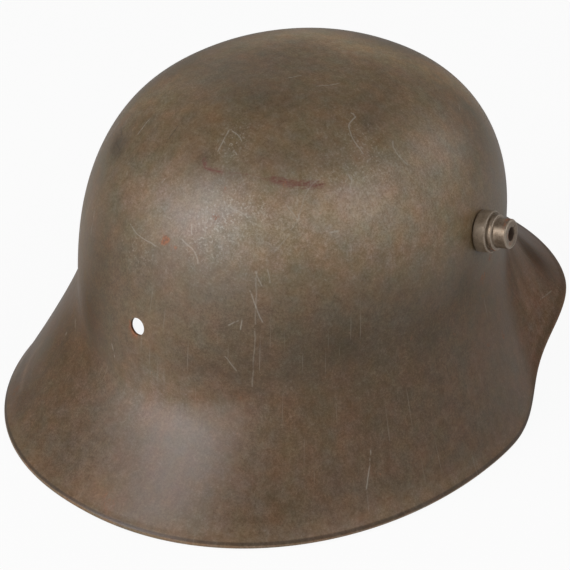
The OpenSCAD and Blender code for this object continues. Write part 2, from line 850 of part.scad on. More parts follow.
// A closed wire loop that hangs from its upper bar
module bail_form() {
    w = bail_w / 2;
    run_y = bail_w - 2 * bail_corner;
    run_z = bail_h - 2 * bail_corner;
    for (z = [0, -bail_h])
        translate([0, 0, z]) rotate([90, 0, 0]) cylinder(d = wire_d, h = run_y, center = true);
    for (side = [-1, 1])
        translate([0, side * w, -bail_h + bail_corner]) cylinder(d = wire_d, h = run_z);
    wire_corner(w - bail_corner, -bail_corner, 90);
    wire_corner(-w + bail_corner, -bail_corner, 180);
    wire_corner(-w + bail_corner, -bail_h + bail_corner, 270);
    wire_corner(w - bail_corner, -bail_h + bail_corner, 0);
}

module left_bail() {
    color([0.48, 0.46, 0.42]) at_hinge() bail_form();
}

module right_bail() {
    on_right() left_bail();
}

placed() shell();
placed() right_lug();
placed() left_lug();
placed() right_lug_washer();
placed() left_lug_washer();
placed() liner_band();
placed() front_right_pin();
placed() front_left_pin();
placed() front_right_pin_washer();
placed() front_left_pin_washer();
placed() front_pad();
placed() rear_right_pad();
placed() rear_left_pad();
placed() front_cushion();
placed() rear_right_cushion();
placed() rear_left_cushion();
placed() front_pocket();
placed() rear_right_pocket();
placed() rear_left_pocket();
placed() pad_rivets();
placed() crown_lace();
placed() right_bail_bracket();
placed() left_bail_bracket();
placed() bail_rivets();
placed() right_bail();
placed() left_bail();
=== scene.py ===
"""The looks of the steel helmet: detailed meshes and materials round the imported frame.

The shapes follow the formulas of the part's source, in millimetres, and become metres when
a mesh is made. Angles start at the front and grow towards the wearer's left, +X.
"""
import math

import bmesh
import bpy
import numpy as np
from mathutils import Matrix, Vector, kdtree


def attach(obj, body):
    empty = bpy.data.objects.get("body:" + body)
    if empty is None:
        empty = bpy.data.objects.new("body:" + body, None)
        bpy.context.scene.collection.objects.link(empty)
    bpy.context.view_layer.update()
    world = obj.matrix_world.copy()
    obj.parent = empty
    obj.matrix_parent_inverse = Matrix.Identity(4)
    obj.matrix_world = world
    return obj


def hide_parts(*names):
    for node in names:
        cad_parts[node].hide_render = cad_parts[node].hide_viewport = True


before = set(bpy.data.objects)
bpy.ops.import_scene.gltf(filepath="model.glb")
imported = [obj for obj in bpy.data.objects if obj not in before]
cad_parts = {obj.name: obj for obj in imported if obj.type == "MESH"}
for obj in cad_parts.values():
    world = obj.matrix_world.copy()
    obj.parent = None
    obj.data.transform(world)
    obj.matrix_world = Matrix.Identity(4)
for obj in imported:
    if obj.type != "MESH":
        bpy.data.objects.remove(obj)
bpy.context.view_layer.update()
scene = bpy.context.scene
MM = 0.001

# ---- sizes of the source
CROWN_H, DOME_HALF_W, DOME_FRONT, DOME_REAR, CROWN_BACK = 167, 92.5, 111, 105, 3
DOME_SQUARE, FULL_OUT, FULL_UP = 2.1, 2.45, 2.3
WAIST = (84, 80, 45)
RIM_HALF_W, VISOR_REACH, GUARD_REACH, RIM_SQUARE, VISOR_H = 121.5, 160, 148.5, 2.15, 28.5
CURL = (28, 18.5, 12)
TEMPLE_ANGLE, TEMPLE_STEP, TEMPLE_PINCH, PINCH_SPREAD = 63, 19, 9.5, 13
SHEET, BEAD_R, BEAD_SWELL, HEM_H = 1.2, 1.6, 0.4, 6
LUG_ANGLE, LUG_H, LUG_SHANK_D = 77, 102, 11
PIN_HOLE_D, PIN_ANGLE = 8, 35
BAND = (88, 79.5, 74)
BAND_H, BAND_T, CURVED_SEAT, HOLLOW_SEAT = 24, 1, 0.35, 0.7
LEATHER_T, CROWN_ROOM, SLIT_START, TIP_HALF, LACE_HOLE_D = 1.8, 30, 0.42, 18, 6.4
LACE_D, LACE_V, CUSHION_T, LINEN_T = 1.8, 0.9, 12, 0.7
FRONT_PAD, REAR_PAD = (-30, 30), (69.5, 168)
BAND_OUT = SHEET + CURVED_SEAT
BAND_IN = BAND_OUT + BAND_T
LEATHER_OUT = BAND_IN + CURVED_SEAT
TURN_STEP, WALL_RATE = 0.1, 1.5


# ---- shape formulas
def rad(a):
    return np.radians(np.asarray(a, float))


def spow(v, e):
    return np.sign(v) * np.abs(v) ** e


def ease(a, b, v):
    k = np.clip((np.asarray(v, float) - a) / (b - a), 0, 1)
    return k * k * (3 - 2 * k)


def lerp(a, b, k):
    return a + (b - a) * k


def unit(v):
    return v / np.linalg.norm(v, axis=-1, keepdims=True)


def both(th, v):
    return np.broadcast_arrays(np.asarray(th, float), np.asarray(v, float))


def by_side(th, front, side, rear):
    c = np.cos(rad(th))
    return side + (np.where(c > 0, front, rear) - side) * c * c


def plan(th, half_w, front, rear, square):
    s, c = np.sin(rad(th)), np.cos(rad(th))
    return half_w * spow(s, 2 / square), -np.where(c > 0, front, rear) * spow(c, 2 / square)


def waist(th):
    x, y = plan(th, DOME_HALF_W, DOME_FRONT, DOME_REAR, DOME_SQUARE)
    return np.stack([x, y, by_side(th, *WAIST)], -1)


def rim(th):
    a = np.degrees(np.abs(np.arctan2(np.sin(rad(th)), np.cos(rad(th)))))
    pinch = 1 - TEMPLE_PINCH / RIM_HALF_W * np.exp(-((a - TEMPLE_ANGLE) / PINCH_SPREAD) ** 2)
    step = ease(TEMPLE_ANGLE - TEMPLE_STEP, TEMPLE_ANGLE + TEMPLE_STEP, a)
    x, y = plan(th, RIM_HALF_W, VISOR_REACH, GUARD_REACH, RIM_SQUARE)
    return np.stack([pinch * x, pinch * y, VISOR_H * (1 - step)], -1)


def dome_at(th, up):
    w = waist(th)
    out = np.cos(rad(up)) ** (2 / FULL_OUT)
    rise = np.sin(rad(up)) ** (2 / FULL_UP)
    return np.stack([w[..., 0] * out, CROWN_BACK * (1 - out) + w[..., 1] * out,
                     w[..., 2] + (CROWN_H - w[..., 2]) * rise], -1)


def curl_point(th):
    w = waist(th)
    w[..., 2] -= by_side(th, *CURL)
    return w


def skirt_at(th, q):
    q = np.asarray(q, float)[..., None]
    return (1 - q) ** 2 * waist(th) + 2 * q * (1 - q) * curl_point(th) + q * q * rim(th)


def shell_at(th, v):
    """The outer face: v is 0 at the crown, 1 at the waist and 2 at the rim."""
    th, v = both(th, v)
    return np.where((v > 1)[..., None], skirt_at(th, np.clip(v - 1, 0, 1.2)),
                    dome_at(th, 90 * (1 - np.clip(v, 0, 1))))


def outward(surface, th, v, step):
    """The direction out of a surface at (th, v); the step is below 0 where v grows upwards."""
    th, v = both(th, v)
    return unit(np.cross(surface(th, v + step) - surface(th, v - step),
                         surface(th + TURN_STEP, v) - surface(th - TURN_STEP, v)))


def shell_out(th, v):
    return outward(shell_at, th, v, 0.002)


def rim_down(th):
    return unit(rim(th) - curl_point(th))


def rim_out(th):
    th = np.asarray(th, float)
    return unit(np.cross(rim_down(th), rim(th + TURN_STEP) - rim(th - TURN_STEP)))


def bead_back(th):
    return (BEAD_R + rim_out(th)[..., 2] * (BEAD_R - BEAD_SWELL)) / -rim_down(th)[..., 2]


def bead_centre(th):
    return rim(th) - bead_back(th)[..., None] * rim_down(th) - (BEAD_R - BEAD_SWELL) * rim_out(th)


def bead_at(th, a):
    return bead_centre(th) + BEAD_R * (math.cos(math.radians(a)) * rim_down(th)
                                       + math.sin(math.radians(a)) * rim_out(th))


def last_q(th, back):
    return 1 - (bead_back(th) + back) / (2 * np.linalg.norm(rim(th) - curl_point(th), axis=-1))


MID_Y = float(bead_centre(0)[1] + bead_centre(180)[1]) / 2
SHIFT = np.array([0, -MID_Y, 0])


def wall_at(th, up):
    """The wall that the liner follows: the dome, and upright below the waist, WALL_RATE mm per step."""
    th, up = both(th, up)
    low = waist(th)
    low[..., 2] += up * WALL_RATE
    return np.where((up > 0)[..., None], dome_at(th, np.clip(up, 0, 90)), low)


def wall_out(th, up):
    return outward(wall_at, th, up, -0.1)


def wall_up(th, z):
    wz = waist(th)[..., 2]
    high = np.clip((z - wz) / (CROWN_H - wz), 0, 1) ** (FULL_UP / 2)
    return np.where(z < wz, (z - wz) / WALL_RATE, np.degrees(np.arcsin(high)))


def band_mid(th):
    return by_side(th, *BAND)


def lining_depth(v):
    k = np.clip(np.maximum(0, v - 0.06) / 0.94, 0, 1)
    return lerp(LEATHER_OUT, CROWN_ROOM, 1 - (1 - k) ** 1.5)


def lining_at(th, v):
    th, v = both(th, v)
    up = lerp(wall_up(th, band_mid(th) - BAND_H / 2 + 2), 76, v)
    return wall_at(th, up) - lining_depth(v)[..., None] * wall_out(th, up)


def lining_out(th, v):
    return outward(lining_at, th, v, -0.002)


def wall_frame(th, z, side=1):
    """Matrix in mm with its origin on the outer face, +Z outwards and +Y up the face."""
    up = float(wall_up(th, z))
    n, p = wall_out(th, up), wall_at(th, up) + SHIFT
    turn, tilt = math.atan2(n[1], n[0]), math.acos(n[2])
    m = (Matrix.Translation(Vector(p)) @ Matrix.Rotation(turn, 4, "Z")
         @ Matrix.Rotation(tilt, 4, "Y") @ Matrix.Rotation(math.pi / 2, 4, "Z"))
    return Matrix.Scale(-1, 4, (1, 0, 0)) @ m if side < 0 else m


def ripple(p, size, seed):
    """A smooth, seeded, wandering value from about -1 to 1 at the points p in mm."""
    rng = np.random.default_rng(seed)
    total = np.zeros(p.shape[:-1])
    for _ in range(9):
        d = unit(rng.normal(size=3)) * 2 * math.pi / (size * rng.uniform(0.6, 1.9))
        total += np.sin(p @ d + rng.uniform(0, 2 * math.pi))
    return total / 4.5


# ---- mesh helpers
def new_object(name, points_mm, faces, angle=None, shift=SHIFT):
    me = bpy.data.meshes.new(name)
    points = (np.asarray(points_mm, float).reshape(-1, 3) + shift) * MM
    me.from_pydata(points.tolist(), [], [list(map(int, f)) for f in faces])
    me.validate()
    me.update()
    ob = bpy.data.objects.new(name, me)
    scene.collection.objects.link(ob)
    return shade(ob, angle)


def face_outwards(ob, drop_loose=False):
    bm = bmesh.new()
    bm.from_mesh(ob.data)
    if drop_loose:
        bmesh.ops.delete(bm, geom=[v for v in bm.verts if not v.link_faces], context="VERTS")
    bmesh.ops.recalc_face_normals(bm, faces=bm.faces)
    bm.to_mesh(ob.data)
    bm.free()
    return ob


def coordinates(me):
    co = np.empty(len(me.vertices) * 3, np.float32)
    me.vertices.foreach_get("co", co)
    return co.reshape(-1, 3).astype(float)


def set_coordinates(me, co):
    me.vertices.foreach_set("co", co.astype(np.float32).ravel())
    me.update()


def set_fields(me, fields):
    """Keeps named numbers or vectors on the points of a mesh, for its material."""
    for name, values in fields.items():
        kind, key = ("FLOAT_VECTOR", "vector") if np.ndim(values) == 2 else ("FLOAT", "value")
        flat = np.asarray(values, np.float32).ravel()
        me.attributes.new(name, kind, "POINT").data.foreach_set(key, flat)


def shade(ob, angle=None):
    ob.data.shade_smooth()
    if angle:
        ob.data.set_sharp_from_angle(angle=math.radians(angle))
    return ob


def apply_modifiers(ob):
    dg = bpy.context.evaluated_depsgraph_get()
    me = bpy.data.meshes.new_from_object(ob.evaluated_get(dg), depsgraph=dg)
    old = ob.data
    ob.modifiers.clear()
    ob.data = me
    bpy.data.meshes.remove(old)


def ring_faces(n, m, closed=True):
    """Faces of n rings of m points; the last ring joins the first where closed."""
    return [(i * m + j, (i + 1) % n * m + j, (i + 1) % n * m + (j + 1) % m, i * m + (j + 1) % m)
            for i in range(n if closed else n - 1) for j in range(m)]


def grid_cells(n, m):
    return [(i * m + j, (i + 1) * m + j, (i + 1) * m + j + 1, i * m + j + 1)
            for i in range(n - 1) for j in range(m - 1)]


def slab(name, front, back):
    """A closed piece between two grids of points in mm."""
    n, m = front.shape[:2]
    k = n * m
    faces = [f for a, b, c, d in grid_cells(n, m) for f in ((a, d, c, b), (k + a, k + b, k + c, k + d))]
    edges = ([(i * m + j, (i + 1) * m + j) for i in range(n - 1) for j in (0, m - 1)]
             + [(i * m + j, i * m + j + 1) for j in range(m - 1) for i in (0, n - 1)])
    faces += [(a, b, k + b, k + a) for a, b in edges]
    return face_outwards(new_object(name, np.stack([front, back]), faces))


def revolve(name, profile, matrix, steps):
    """A closed ring-shaped body from a profile of (radius, height) in mm."""
    turns = [2 * math.pi * i / steps for i in range(steps)]
    pts = [matrix @ Vector((r * math.cos(a), r * math.sin(a), z)) for a in turns for r, z in profile]
    return face_outwards(new_object(name, [p[:] for p in pts], ring_faces(steps, len(profile)), 38, 0))


def cut_holes(ob, holes):
    """Cuts round holes: a list of (matrix, radius, half length) in mm."""
    bm = bmesh.new()
    for matrix, r, half in holes:
        tip = bmesh.ops.create_cone(bm, cap_ends=True, segments=56, radius1=r, radius2=r, depth=2 * half)
        bmesh.ops.transform(bm, matrix=Matrix.Scale(MM, 4) @ matrix, verts=tip["verts"])
    bmesh.ops.recalc_face_normals(bm, faces=bm.faces)
    me = bpy.data.meshes.new("cutter")
    bm.to_mesh(me)
    bm.free()
    tool = bpy.data.objects.new("cutter", me)
    scene.collection.objects.link(tool)
    cut = ob.modifiers.new("holes", "BOOLEAN")
    cut.operation, cut.solver, cut.object, cut.use_self = "DIFFERENCE", "EXACT", tool, True
    apply_modifiers(ob)
    bpy.data.objects.remove(tool)
    bpy.data.meshes.remove(me)


def tube_mesh(path, r, sides=10, closed=True):
    """Points and faces of a tube round a path of points in mm."""
    path = np.asarray(path, float)
    n = len(path)
    ahead = np.roll(path, -1, 0) if closed else np.vstack([path[1:], path[-1:]])
    behind = np.roll(path, 1, 0) if closed else np.vstack([path[:1], path[:-1]])
    along = unit(ahead - behind)
    side = unit(np.cross([0, 0, 1], along) + 1e-9)
    up = np.cross(along, side)
    a = np.arange(sides) * 2 * math.pi / sides
    rr = np.broadcast_to(np.asarray(r, float), (n,))
    pts = (path[:, None] + rr[:, None, None] * (np.cos(a)[None, :, None] * side[:, None]
                                                + np.sin(a)[None, :, None] * up[:, None]))
    faces = ring_faces(n, sides, closed)
    if not closed:
        faces += [tuple(range(sides)), tuple((n - 1) * sides + k for k in range(sides))]
    return pts.reshape(-1, 3), faces


# ---- materials
def srgb(r, g, b):
    def one(c):
        c /= 255
        return c / 12.92 if c <= 0.04045 else ((c + 0.055) / 1.055) ** 2.4
    return (one(r), one(g), one(b), 1.0)


class Value:
    """What a node gives, with plain arithmetic that adds further nodes."""

    def __init__(self, shader, socket):
        self.shader, self.socket = shader, socket

    def __add__(self, other):
        return self.shader.math("ADD", self, other)

    def __mul__(self, other):
        return self.shader.math("MULTIPLY", self, other)

    def __sub__(self, other):
        return self.shader.math("SUBTRACT", self, other)

    def __rsub__(self, other):
        return self.shader.math("SUBTRACT", other, self)

    __radd__, __rmul__ = __add__, __mul__


class Shader:
    """A node material with short names for the nodes that it uses most."""

    def __init__(self, name, roughness=0.5, metallic=0.0, specular=0.5):
        self.mat = bpy.data.materials.new(name)
        self.mat.use_nodes = True
        self.nodes = self.mat.node_tree.nodes
        self.nodes.clear()
        out = self.nodes.new("ShaderNodeOutputMaterial")
        self.bsdf = self.nodes.new("ShaderNodeBsdfPrincipled")
        self.mat.node_tree.links.new(self.bsdf.outputs[0], out.inputs["Surface"])
        for key, value in (("Roughness", roughness), ("Metallic", metallic),
                           ("Specular IOR Level", specular)):
            self.bsdf.inputs[key].default_value = value
        self.where = self.node("TexCoord", {}, "Object")

    def put(self, socket, value):
        if isinstance(value, Value):
            self.mat.node_tree.links.new(value.socket, socket)
        elif value is not None:
            socket.default_value = value

    def node(self, kind, inputs, out=0, **settings):
        """Adds a node, fills its inputs by name or number, and gives one of its outputs."""
        n = self.nodes.new("ShaderNode" + kind)
        for key, value in settings.items():
            setattr(n, key, value)
        for key, value in inputs.items():
            self.put(n.inputs[key], value)
        return Value(self, n.outputs[out])

    def math(self, op, a, b=None):
        return self.node("Math", {0: a, 1: b}, operation=op)

    def noise(self, where, scale, detail=3.0, rough=0.5, bend=0.0):
        return self.node("TexNoise", {"Vector": where, "Scale": scale, "Detail": detail,
                                      "Roughness": rough, "Distortion": bend}, "Fac")

    def cells(self, where, scale, feature="F1"):
        return self.node("TexVoronoi", {"Vector": where, "Scale": scale}, "Distance", feature=feature)

    def span(self, value, lo, hi, to_lo=0.0, to_hi=1.0, kind="SMOOTHSTEP"):
        return self.node("MapRange", {"Value": value, "From Min": lo, "From Max": hi, "To Min": to_lo,
                                      "To Max": to_hi}, "Result", interpolation_type=kind)

    def sway(self, noise, reach, lo=0.3, hi=0.7):
        """A noise made to swing evenly to either side of 0."""
        return self.span(noise, lo, hi, -reach, reach, "LINEAR")

    def mix(self, fac, a, b, mode="MIX"):
        return self.node("Mix", {0: fac, 6: a, 7: b}, 2, data_type="RGBA", blend_type=mode,
                         clamp_factor=True)

    def coats(self, colour, *coats):
        """Lays coats over a colour: how much of each, and its colour."""
        for fac, over in coats:
            colour = self.mix(fac, colour, over)
        return colour

    def field(self, name, out="Fac"):
        return self.node("Attribute", {}, out, attribute_name=name)

    def axes(self, where=None):
        n = self.nodes.new("ShaderNodeSeparateXYZ")
        self.put(n.inputs[0], where or self.where)
        return [Value(self, out) for out in n.outputs]

    def pack(self, x, y, z):
        return self.node("CombineXYZ", {0: x, 1: y, 2: z})

    def stretch(self, where, scale, turn=(0, 0, 0)):
        turn = [math.radians(a) for a in turn]
        return self.node("Mapping", {"Vector": where, "Scale": scale, "Rotation": turn})

    def wrapped(self):
        """Where a point lies on the wall: round it, and up it, in metres."""
        x, y, z = self.axes()
        return self.pack(self.math("ARCTAN2", x, y * -1.0) * 0.1, z, 0.0)

    def finish(self, colour, roughness, height, strength, relief, metallic=None):
        """Joins colour, roughness and a bump from a height, relief in metres."""
        normal = self.node("Bump", {"Height": height, "Strength": strength, "Distance": relief})
        for key, value in (("Base Color", colour), ("Roughness", roughness), ("Normal", normal),
                           ("Metallic", metallic)):
            self.put(self.bsdf.inputs[key], value)
        return self.mat


OLIVE = srgb(99, 81, 59)
DARK, PALE = srgb(60, 50, 40), srgb(172, 166, 154)
RUST, DEEP_RUST = srgb(164, 106, 70), srgb(112, 66, 46)

# Soft patches on the shell: angle, v, width and height in mm, how much lighter (+) or darker (-)
# than the paint, how much greyer (+) or browner (-). The first four are painted highlights; the rest are
# the old paint's wear and stains.
PATCHES = (
    (-158, 0.57, 24, 22, 0.48, 0.16),  # painted highlight, grey, at the back of the dome
    # painted highlight
    (-136, 0.6, 30, 34, 0.52, 0.14),
    (-114, 0.58, 28, 32, 0.56, 0.1),  # painted highlight on the right of the dome
    # painted highlight, lower on the right of the dome
    (-99, 0.74, 30, 28, 0.42, 0.1),
    (-80, 0.58, 32, 40, 0.6, 0.04),  # sun-bleached flank in front of it
    (-34, 0.47, 18, 28, 0.7, -0.1),
    (-45, 0.12, 46, 38, 0.36, -0.03),  # bleached crown
    (-86, 0.28, 18, 14, -0.24, 0.0),
    (0, 0.18, 36, 18, 0.7, 0.06), (70, 0.17, 34, 16, 0.66, 0.06),
    (128, 0.44, 14, 22, 0.35, 0.0),  # left edge of the dome
    (146, 0.33, 18, 14, 0.24, 0.02),
    (174, 0.57, 26, 22, 0.48, 0.14),
    (161, 0.8, 17, 22, -0.34, -0.1),  # dark brown flank on the left
    (157, 0.97, 18, 22, -0.72, -0.26),
    (142, 1.35, 22, 40, -0.2, -0.16), (134, 1.9, 18, 16, -0.28, -0.1),
    (-177, 0.87, 14, 14, 0.2, 0.0),
    (-170, 1.0, 32, 15, 0.4, 0.14),  # bright band under the pin hole
    (-160, 0.93, 20, 9, -0.22, 0.0),
    (-166, 1.66, 50, 26, 0.24, 0.14),
    (-134, 0.92, 34, 26, -0.22, -0.02),
    (-96, 1.02, 30, 18, -0.34, -0.12), (-76, 1.24, 26, 24, -0.26, -0.14),
    (-53, 1.25, 12, 20, -0.6, -0.12),  # dark root of the visor
    (-37, 1.66, 18, 16, -1.0, -0.36),
    (-66, 1.6, 30, 34, -0.14, -0.08), (-63, 1.86, 24, 16, 0.16, 0.04), (-50, 1.64, 14, 16, 0.3, 0.06),
    (-84, 0.98, 12, 12, -0.28, -0.06), (-56, 0.2, 16, 14, -0.24, 0.0), (153, 1.27, 12, 12, 0.26, 0.0),
    (146, 1.87, 12, 10, -0.24, -0.04), (-131, 0.39, 26, 13, -0.24, 0.0), (-161, 0.17, 18, 12, -0.22, 0.0),
    (-121, 0.97, 16, 12, -0.22, 0.0), (-158, 1.89, 26, 10, 0.2, 0.06),
    (172, 0.27, 34, 24, 0.16, 0.0),
    (-112, 1.94, 46, 8, 0.28, 0.08),  # worn strip above the rim on the right
    (-176, 1.86, 14, 9, 0.12, -0.18),  # orange-brown stain above the neck's rim
    (60, 0.6, 40, 36, 0.34, 0.04), (110, 0.75, 30, 24, -0.3, -0.08),
    (85, 1.3, 34, 20, 0.26, 0.05), (20, 0.7, 30, 26, 0.3, 0.02),
    (140, 1.5, 30, 18, -0.2, -0.06), (0, 1.5, 40, 20, -0.2, -0.05))

# Rust: angle, v, radius in mm, strength
RUST_SPOTS = (
    (-176.5, 0.65, 2.2, 1.0), (-175, 0.64, 2.0, 0.9), (-172, 0.655, 2.8, 0.75), (-161, 0.555, 2.2, 0.9),
    (-160, 0.48, 1.8, 0.8), (-139, 0.465, 2.0, 0.9), (-111, 0.58, 4.0, 0.5), (178, 0.905, 4.5, 0.5),
    (-155, 1.39, 2.2, 0.6), (-174, 1.895, 9.0, 0.55), (-72, 0.985, 4.0, 0.7), (-73, 1.605, 3.0, 0.8),
    (-90, 1.345, 2.6, 0.6), (-80, 1.545, 3.0, 0.7), (-86, 1.595, 2.4, 0.5), (-76, 1.08, 5.0, 0.7),
    (-77, 1.25, 3.0, 0.6), (-161, 0.855, 2.2, 0.5), (180, 1.035, 4.0, 0.4), (-149, 1.05, 2.2, 0.6),
    (171, 1.585, 6.0, 0.35), (-103, 1.175, 2.4, 0.6),
    (75, 0.98, 4.0, 0.8), (95, 1.4, 3.2, 0.8), (30, 0.8, 2.6, 0.9), (120, 0.6, 3.0, 0.8),
    (-5, 1.8, 5.0, 0.6), (50, 1.7, 3.2, 0.7), (140, 1.9, 6.0, 0.6), (10, 0.35, 2.4, 0.8),
    (62, 0.45, 2.2, 0.7), (-30, 1.3, 2.6, 0.6), (-20, 0.6, 2.6, 0.7))

# Dark smudges: angle, v, width and height in mm, strength
SMUDGES = ((142, 0.55, 8, 5, 0.8), (-173, 0.405, 4, 4, 0.5), (-100, 0.33, 5, 4, 0.4),
           (30, 0.45, 8, 6, 0.6), (85, 0.7, 6, 9, 0.5), (-20, 1.0, 9, 6, 0.4))

# Flecked, scuffed places: angle, v, width and height in mm, strength
SCUFFS = ((-159, 0.56, 11, 11, 1.0), (-150, 0.54, 12, 8, 0.7), (-163, 0.63, 9, 9, 0.7),
          (-164, 0.33, 6, 9, 0.8), (-118, 0.47, 12, 9, 0.4), (-106, 0.4, 10, 16, 0.5),
          (176, 0.7, 12, 8, 0.4), (55, 0.5, 16, 14, 0.6), (100, 1.3, 14, 8, 0.5))

# The reddish abrasion across the back of the dome: strength and width in mm, then marks (angle, v)
RUBS = (
    (1.0, 2.2, (-173.5, 0.4), (-170, 0.43), (-165.5, 0.43), (-162, 0.431)),
    (0.85, 1.8, (-162, 0.43), (-156, 0.435), (-150, 0.437), (-144.5, 0.445)),
    (1.0, 3.4, (-146, 0.441), (-140.5, 0.456), (-135.5, 0.468), (-130, 0.48), (-124, 0.49)),
    (0.8, 1.3, (-160, 0.478), (-160.5, 0.5), (-162.5, 0.512)))

# Painted highlights along two lines where the sheet turns, then a painted shade strip beside the second:
# tone, width in mm, then marks (angle, v)
CREASE_HIGHLIGHTS_AND_SHADE = (
    (0.28, 2.6, (-52.5, 1.25), (-54, 1.39), (-55.5, 1.54), (-57, 1.655), (-58, 1.77)),
    (0.32, 1.5, (134.5, 1.69), (133.5, 1.76), (133.5, 1.805), (136, 1.84), (139.5, 1.855), (143, 1.865)),
    (-0.2, 4.0, (125, 1.8), (129, 1.9), (135.5, 1.93), (142, 1.94)))

# Scratches: strength (light above 0, dark below), then the marks (angle, v) that each one passes
SCRATCHES = (
    (0.5, (-167, 0.3), (-162.5, 0.31), (-159.5, 0.33)), (0.6, (-162.5, 0.35), (-159.5, 0.375)),
    (0.5, (-168.5, 0.375), (-168.5, 0.335), (-168.5, 0.3)), (0.5, (176.5, 0.49), (176, 0.515)),
    (0.5, (158, 0.545), (159, 0.557)), (0.6, (-168.5, 0.585), (-167.5, 0.615)),
    (0.45, (170, 0.65), (175, 0.665), (178.5, 0.665), (-177, 0.67)),
    (0.5, (-171.5, 0.625), (-165, 0.655), (-163.5, 0.685)), (0.5, (-157, 0.525), (-149, 0.555)),
    (0.3, (-165, 0.535), (-163, 0.61)), (-0.6, (167.5, 0.41), (166, 0.35)),
    (0.4, (-142, 0.07), (-118, 0.065)), (0.4, (-111.5, 0.125), (-90.5, 0.15)),
    (0.6, (-104, 0.27), (-102, 0.29), (-108, 0.305), (-109.5, 0.325), (-110, 0.365), (-108.5, 0.43)),
    (0.6, (-107.5, 0.45), (-108.5, 0.46)),
    (0.5, (-95, 0.425), (-96.5, 0.445), (-96.5, 0.48), (-95, 0.525)), (0.4, (-54, 0.49), (-57.5, 0.5)),
    (0.6, (-116.5, 0.475), (-116, 0.5)), (0.7, (-125.5, 0.635), (-122.5, 0.64)),
    (0.5, (-134.5, 0.56), (-134, 0.58)), (0.6, (-140.5, 0.51), (-138, 0.522)),
    (0.35, (-127, 0.465), (-131.5, 0.5), (-133, 0.53), (-134.5, 0.58), (-137.5, 0.615),
     (-141.5, 0.665)),
    (0.4, (-146.5, 0.7), (-144, 0.745)), (0.5, (-147.5, 0.75), (-143.5, 0.84)),
    (0.32, (-146, 0.7), (-145.5, 0.78), (-145.5, 0.895), (-146, 1.0)),
    (0.6, (-116, 1.695), (-117.5, 1.85)), (0.6, (170.5, 0.955), (172, 0.98)),
    (-0.3, (-66, 1.13), (-60.5, 1.515), (-59.5, 1.79)), (0.4, (-159.5, 0.51), (-157, 0.54)),
    (0.5, (-138, 0.53), (-134.5, 0.58)), (0.6, (-149, 0.82), (-149.5, 0.85)),
    (0.5, (-153, 0.835), (-150, 0.825)), (0.4, (-153.5, 0.91), (-150, 0.95)),
    (0.4, (-115.5, 0.485), (-117, 0.53)), (0.4, (-143, 0.7), (-142, 0.74)),
    (0.9, (-158.5, 0.588), (-157.5, 0.592)), (0.7, (-166.8, 0.5), (-166.2, 0.502)),
    (0.7, (-151.3, 0.495), (-150.7, 0.496)), (0.8, (-152.2, 0.715), (-151.8, 0.717)),
    (0.7, (-153.2, 0.8), (-152.8, 0.802)), (0.8, (-59.8, 0.33), (-59.2, 0.332)),
    (0.7, (-106.3, 0.68), (-105.7, 0.682)), (-0.8, (-133.7, 0.69), (-133.3, 0.692)),
    (0.7, (-92.3, 0.655), (-91.7, 0.657)), (0.6, (179.3, 0.39), (179.7, 0.392)),
    (-0.5, (137.5, 0.572), (142, 0.545), (147, 0.535)), (0.4, (-53, 1.8), (-48, 1.865)))


def soft_patches(points, places):
    """Adds up soft patches (angle, v, width, height, strength) at points in mm."""
    total = np.zeros(len(points))
    for th, v, width, height, strength in places:
        d = points - (shell_at(th, v) + SHIFT)
        n = shell_out(th, v)
        side = unit(np.cross([0, 0, 1], n))
        up = np.cross(n, side)
        far = ((d @ side) / width) ** 2 + ((d @ up) / height) ** 2 + ((d @ n) / (width + height)) ** 2
        total += strength * np.exp(-far)
    return total


def trace(marks):
    """Points in mm of a smooth line on the outer face through marks (angle, v)."""
    th, v = np.asarray(marks, float).T
    th = np.unwrap(th, period=360)
    t = np.arange(len(th))
    fine = np.linspace(0, len(th) - 1, 8 * (len(th) - 1) + 1)
    th, v = np.interp(fine, t, th), np.interp(fine, t, v)
    for _ in range(6):
        th[1:-1] = (th[:-2] + 2 * th[1:-1] + th[2:]) / 4
        v[1:-1] = (v[:-2] + 2 * v[1:-1] + v[2:]) / 4
    return shell_at(th, v) + SHIFT


def beside_line(points, line):
    """For points near a line: the distance across it, signed, and the distance inside its ends."""
    best = np.full(len(points), 1e9)
    across, inside = np.zeros(len(points)), np.zeros(len(points))
    steps = np.linalg.norm(np.diff(line, axis=0), axis=1)
    start, length = 0.0, steps.sum()
    outward = points - [0, 0, 60]
    for k, (a, b) in enumerate(zip(line[:-1], line[1:])):
        d = b - a
        t = (points - a) @ d / (d @ d)
        t = np.clip(t, None if k == 0 else 0, None if k == len(steps) - 1 else 1)
        off = points - a - t[:, None] * d
        dist = np.linalg.norm(off, axis=1)
        s = start + t * steps[k]
        hit = dist < best
        best = np.where(hit, dist, best)
        sign = np.sign(np.einsum("ij,ij->i", np.cross(d, off), outward))
        across = np.where(hit, sign * dist, across)
        inside = np.where(hit, np.minimum(s, length - s), inside)
        start += steps[k]
    return across, inside


def soft_line(points, width, marks):
    """1 on a line through marks (angle, v) on the outer face, fading over a width in mm."""
    across, inside = beside_line(points, trace(marks))
    return np.exp(-(across / width) ** 2) * ease(-width, width, inside)


LINE_REACH, LINE_LAYERS = 6.0, 4


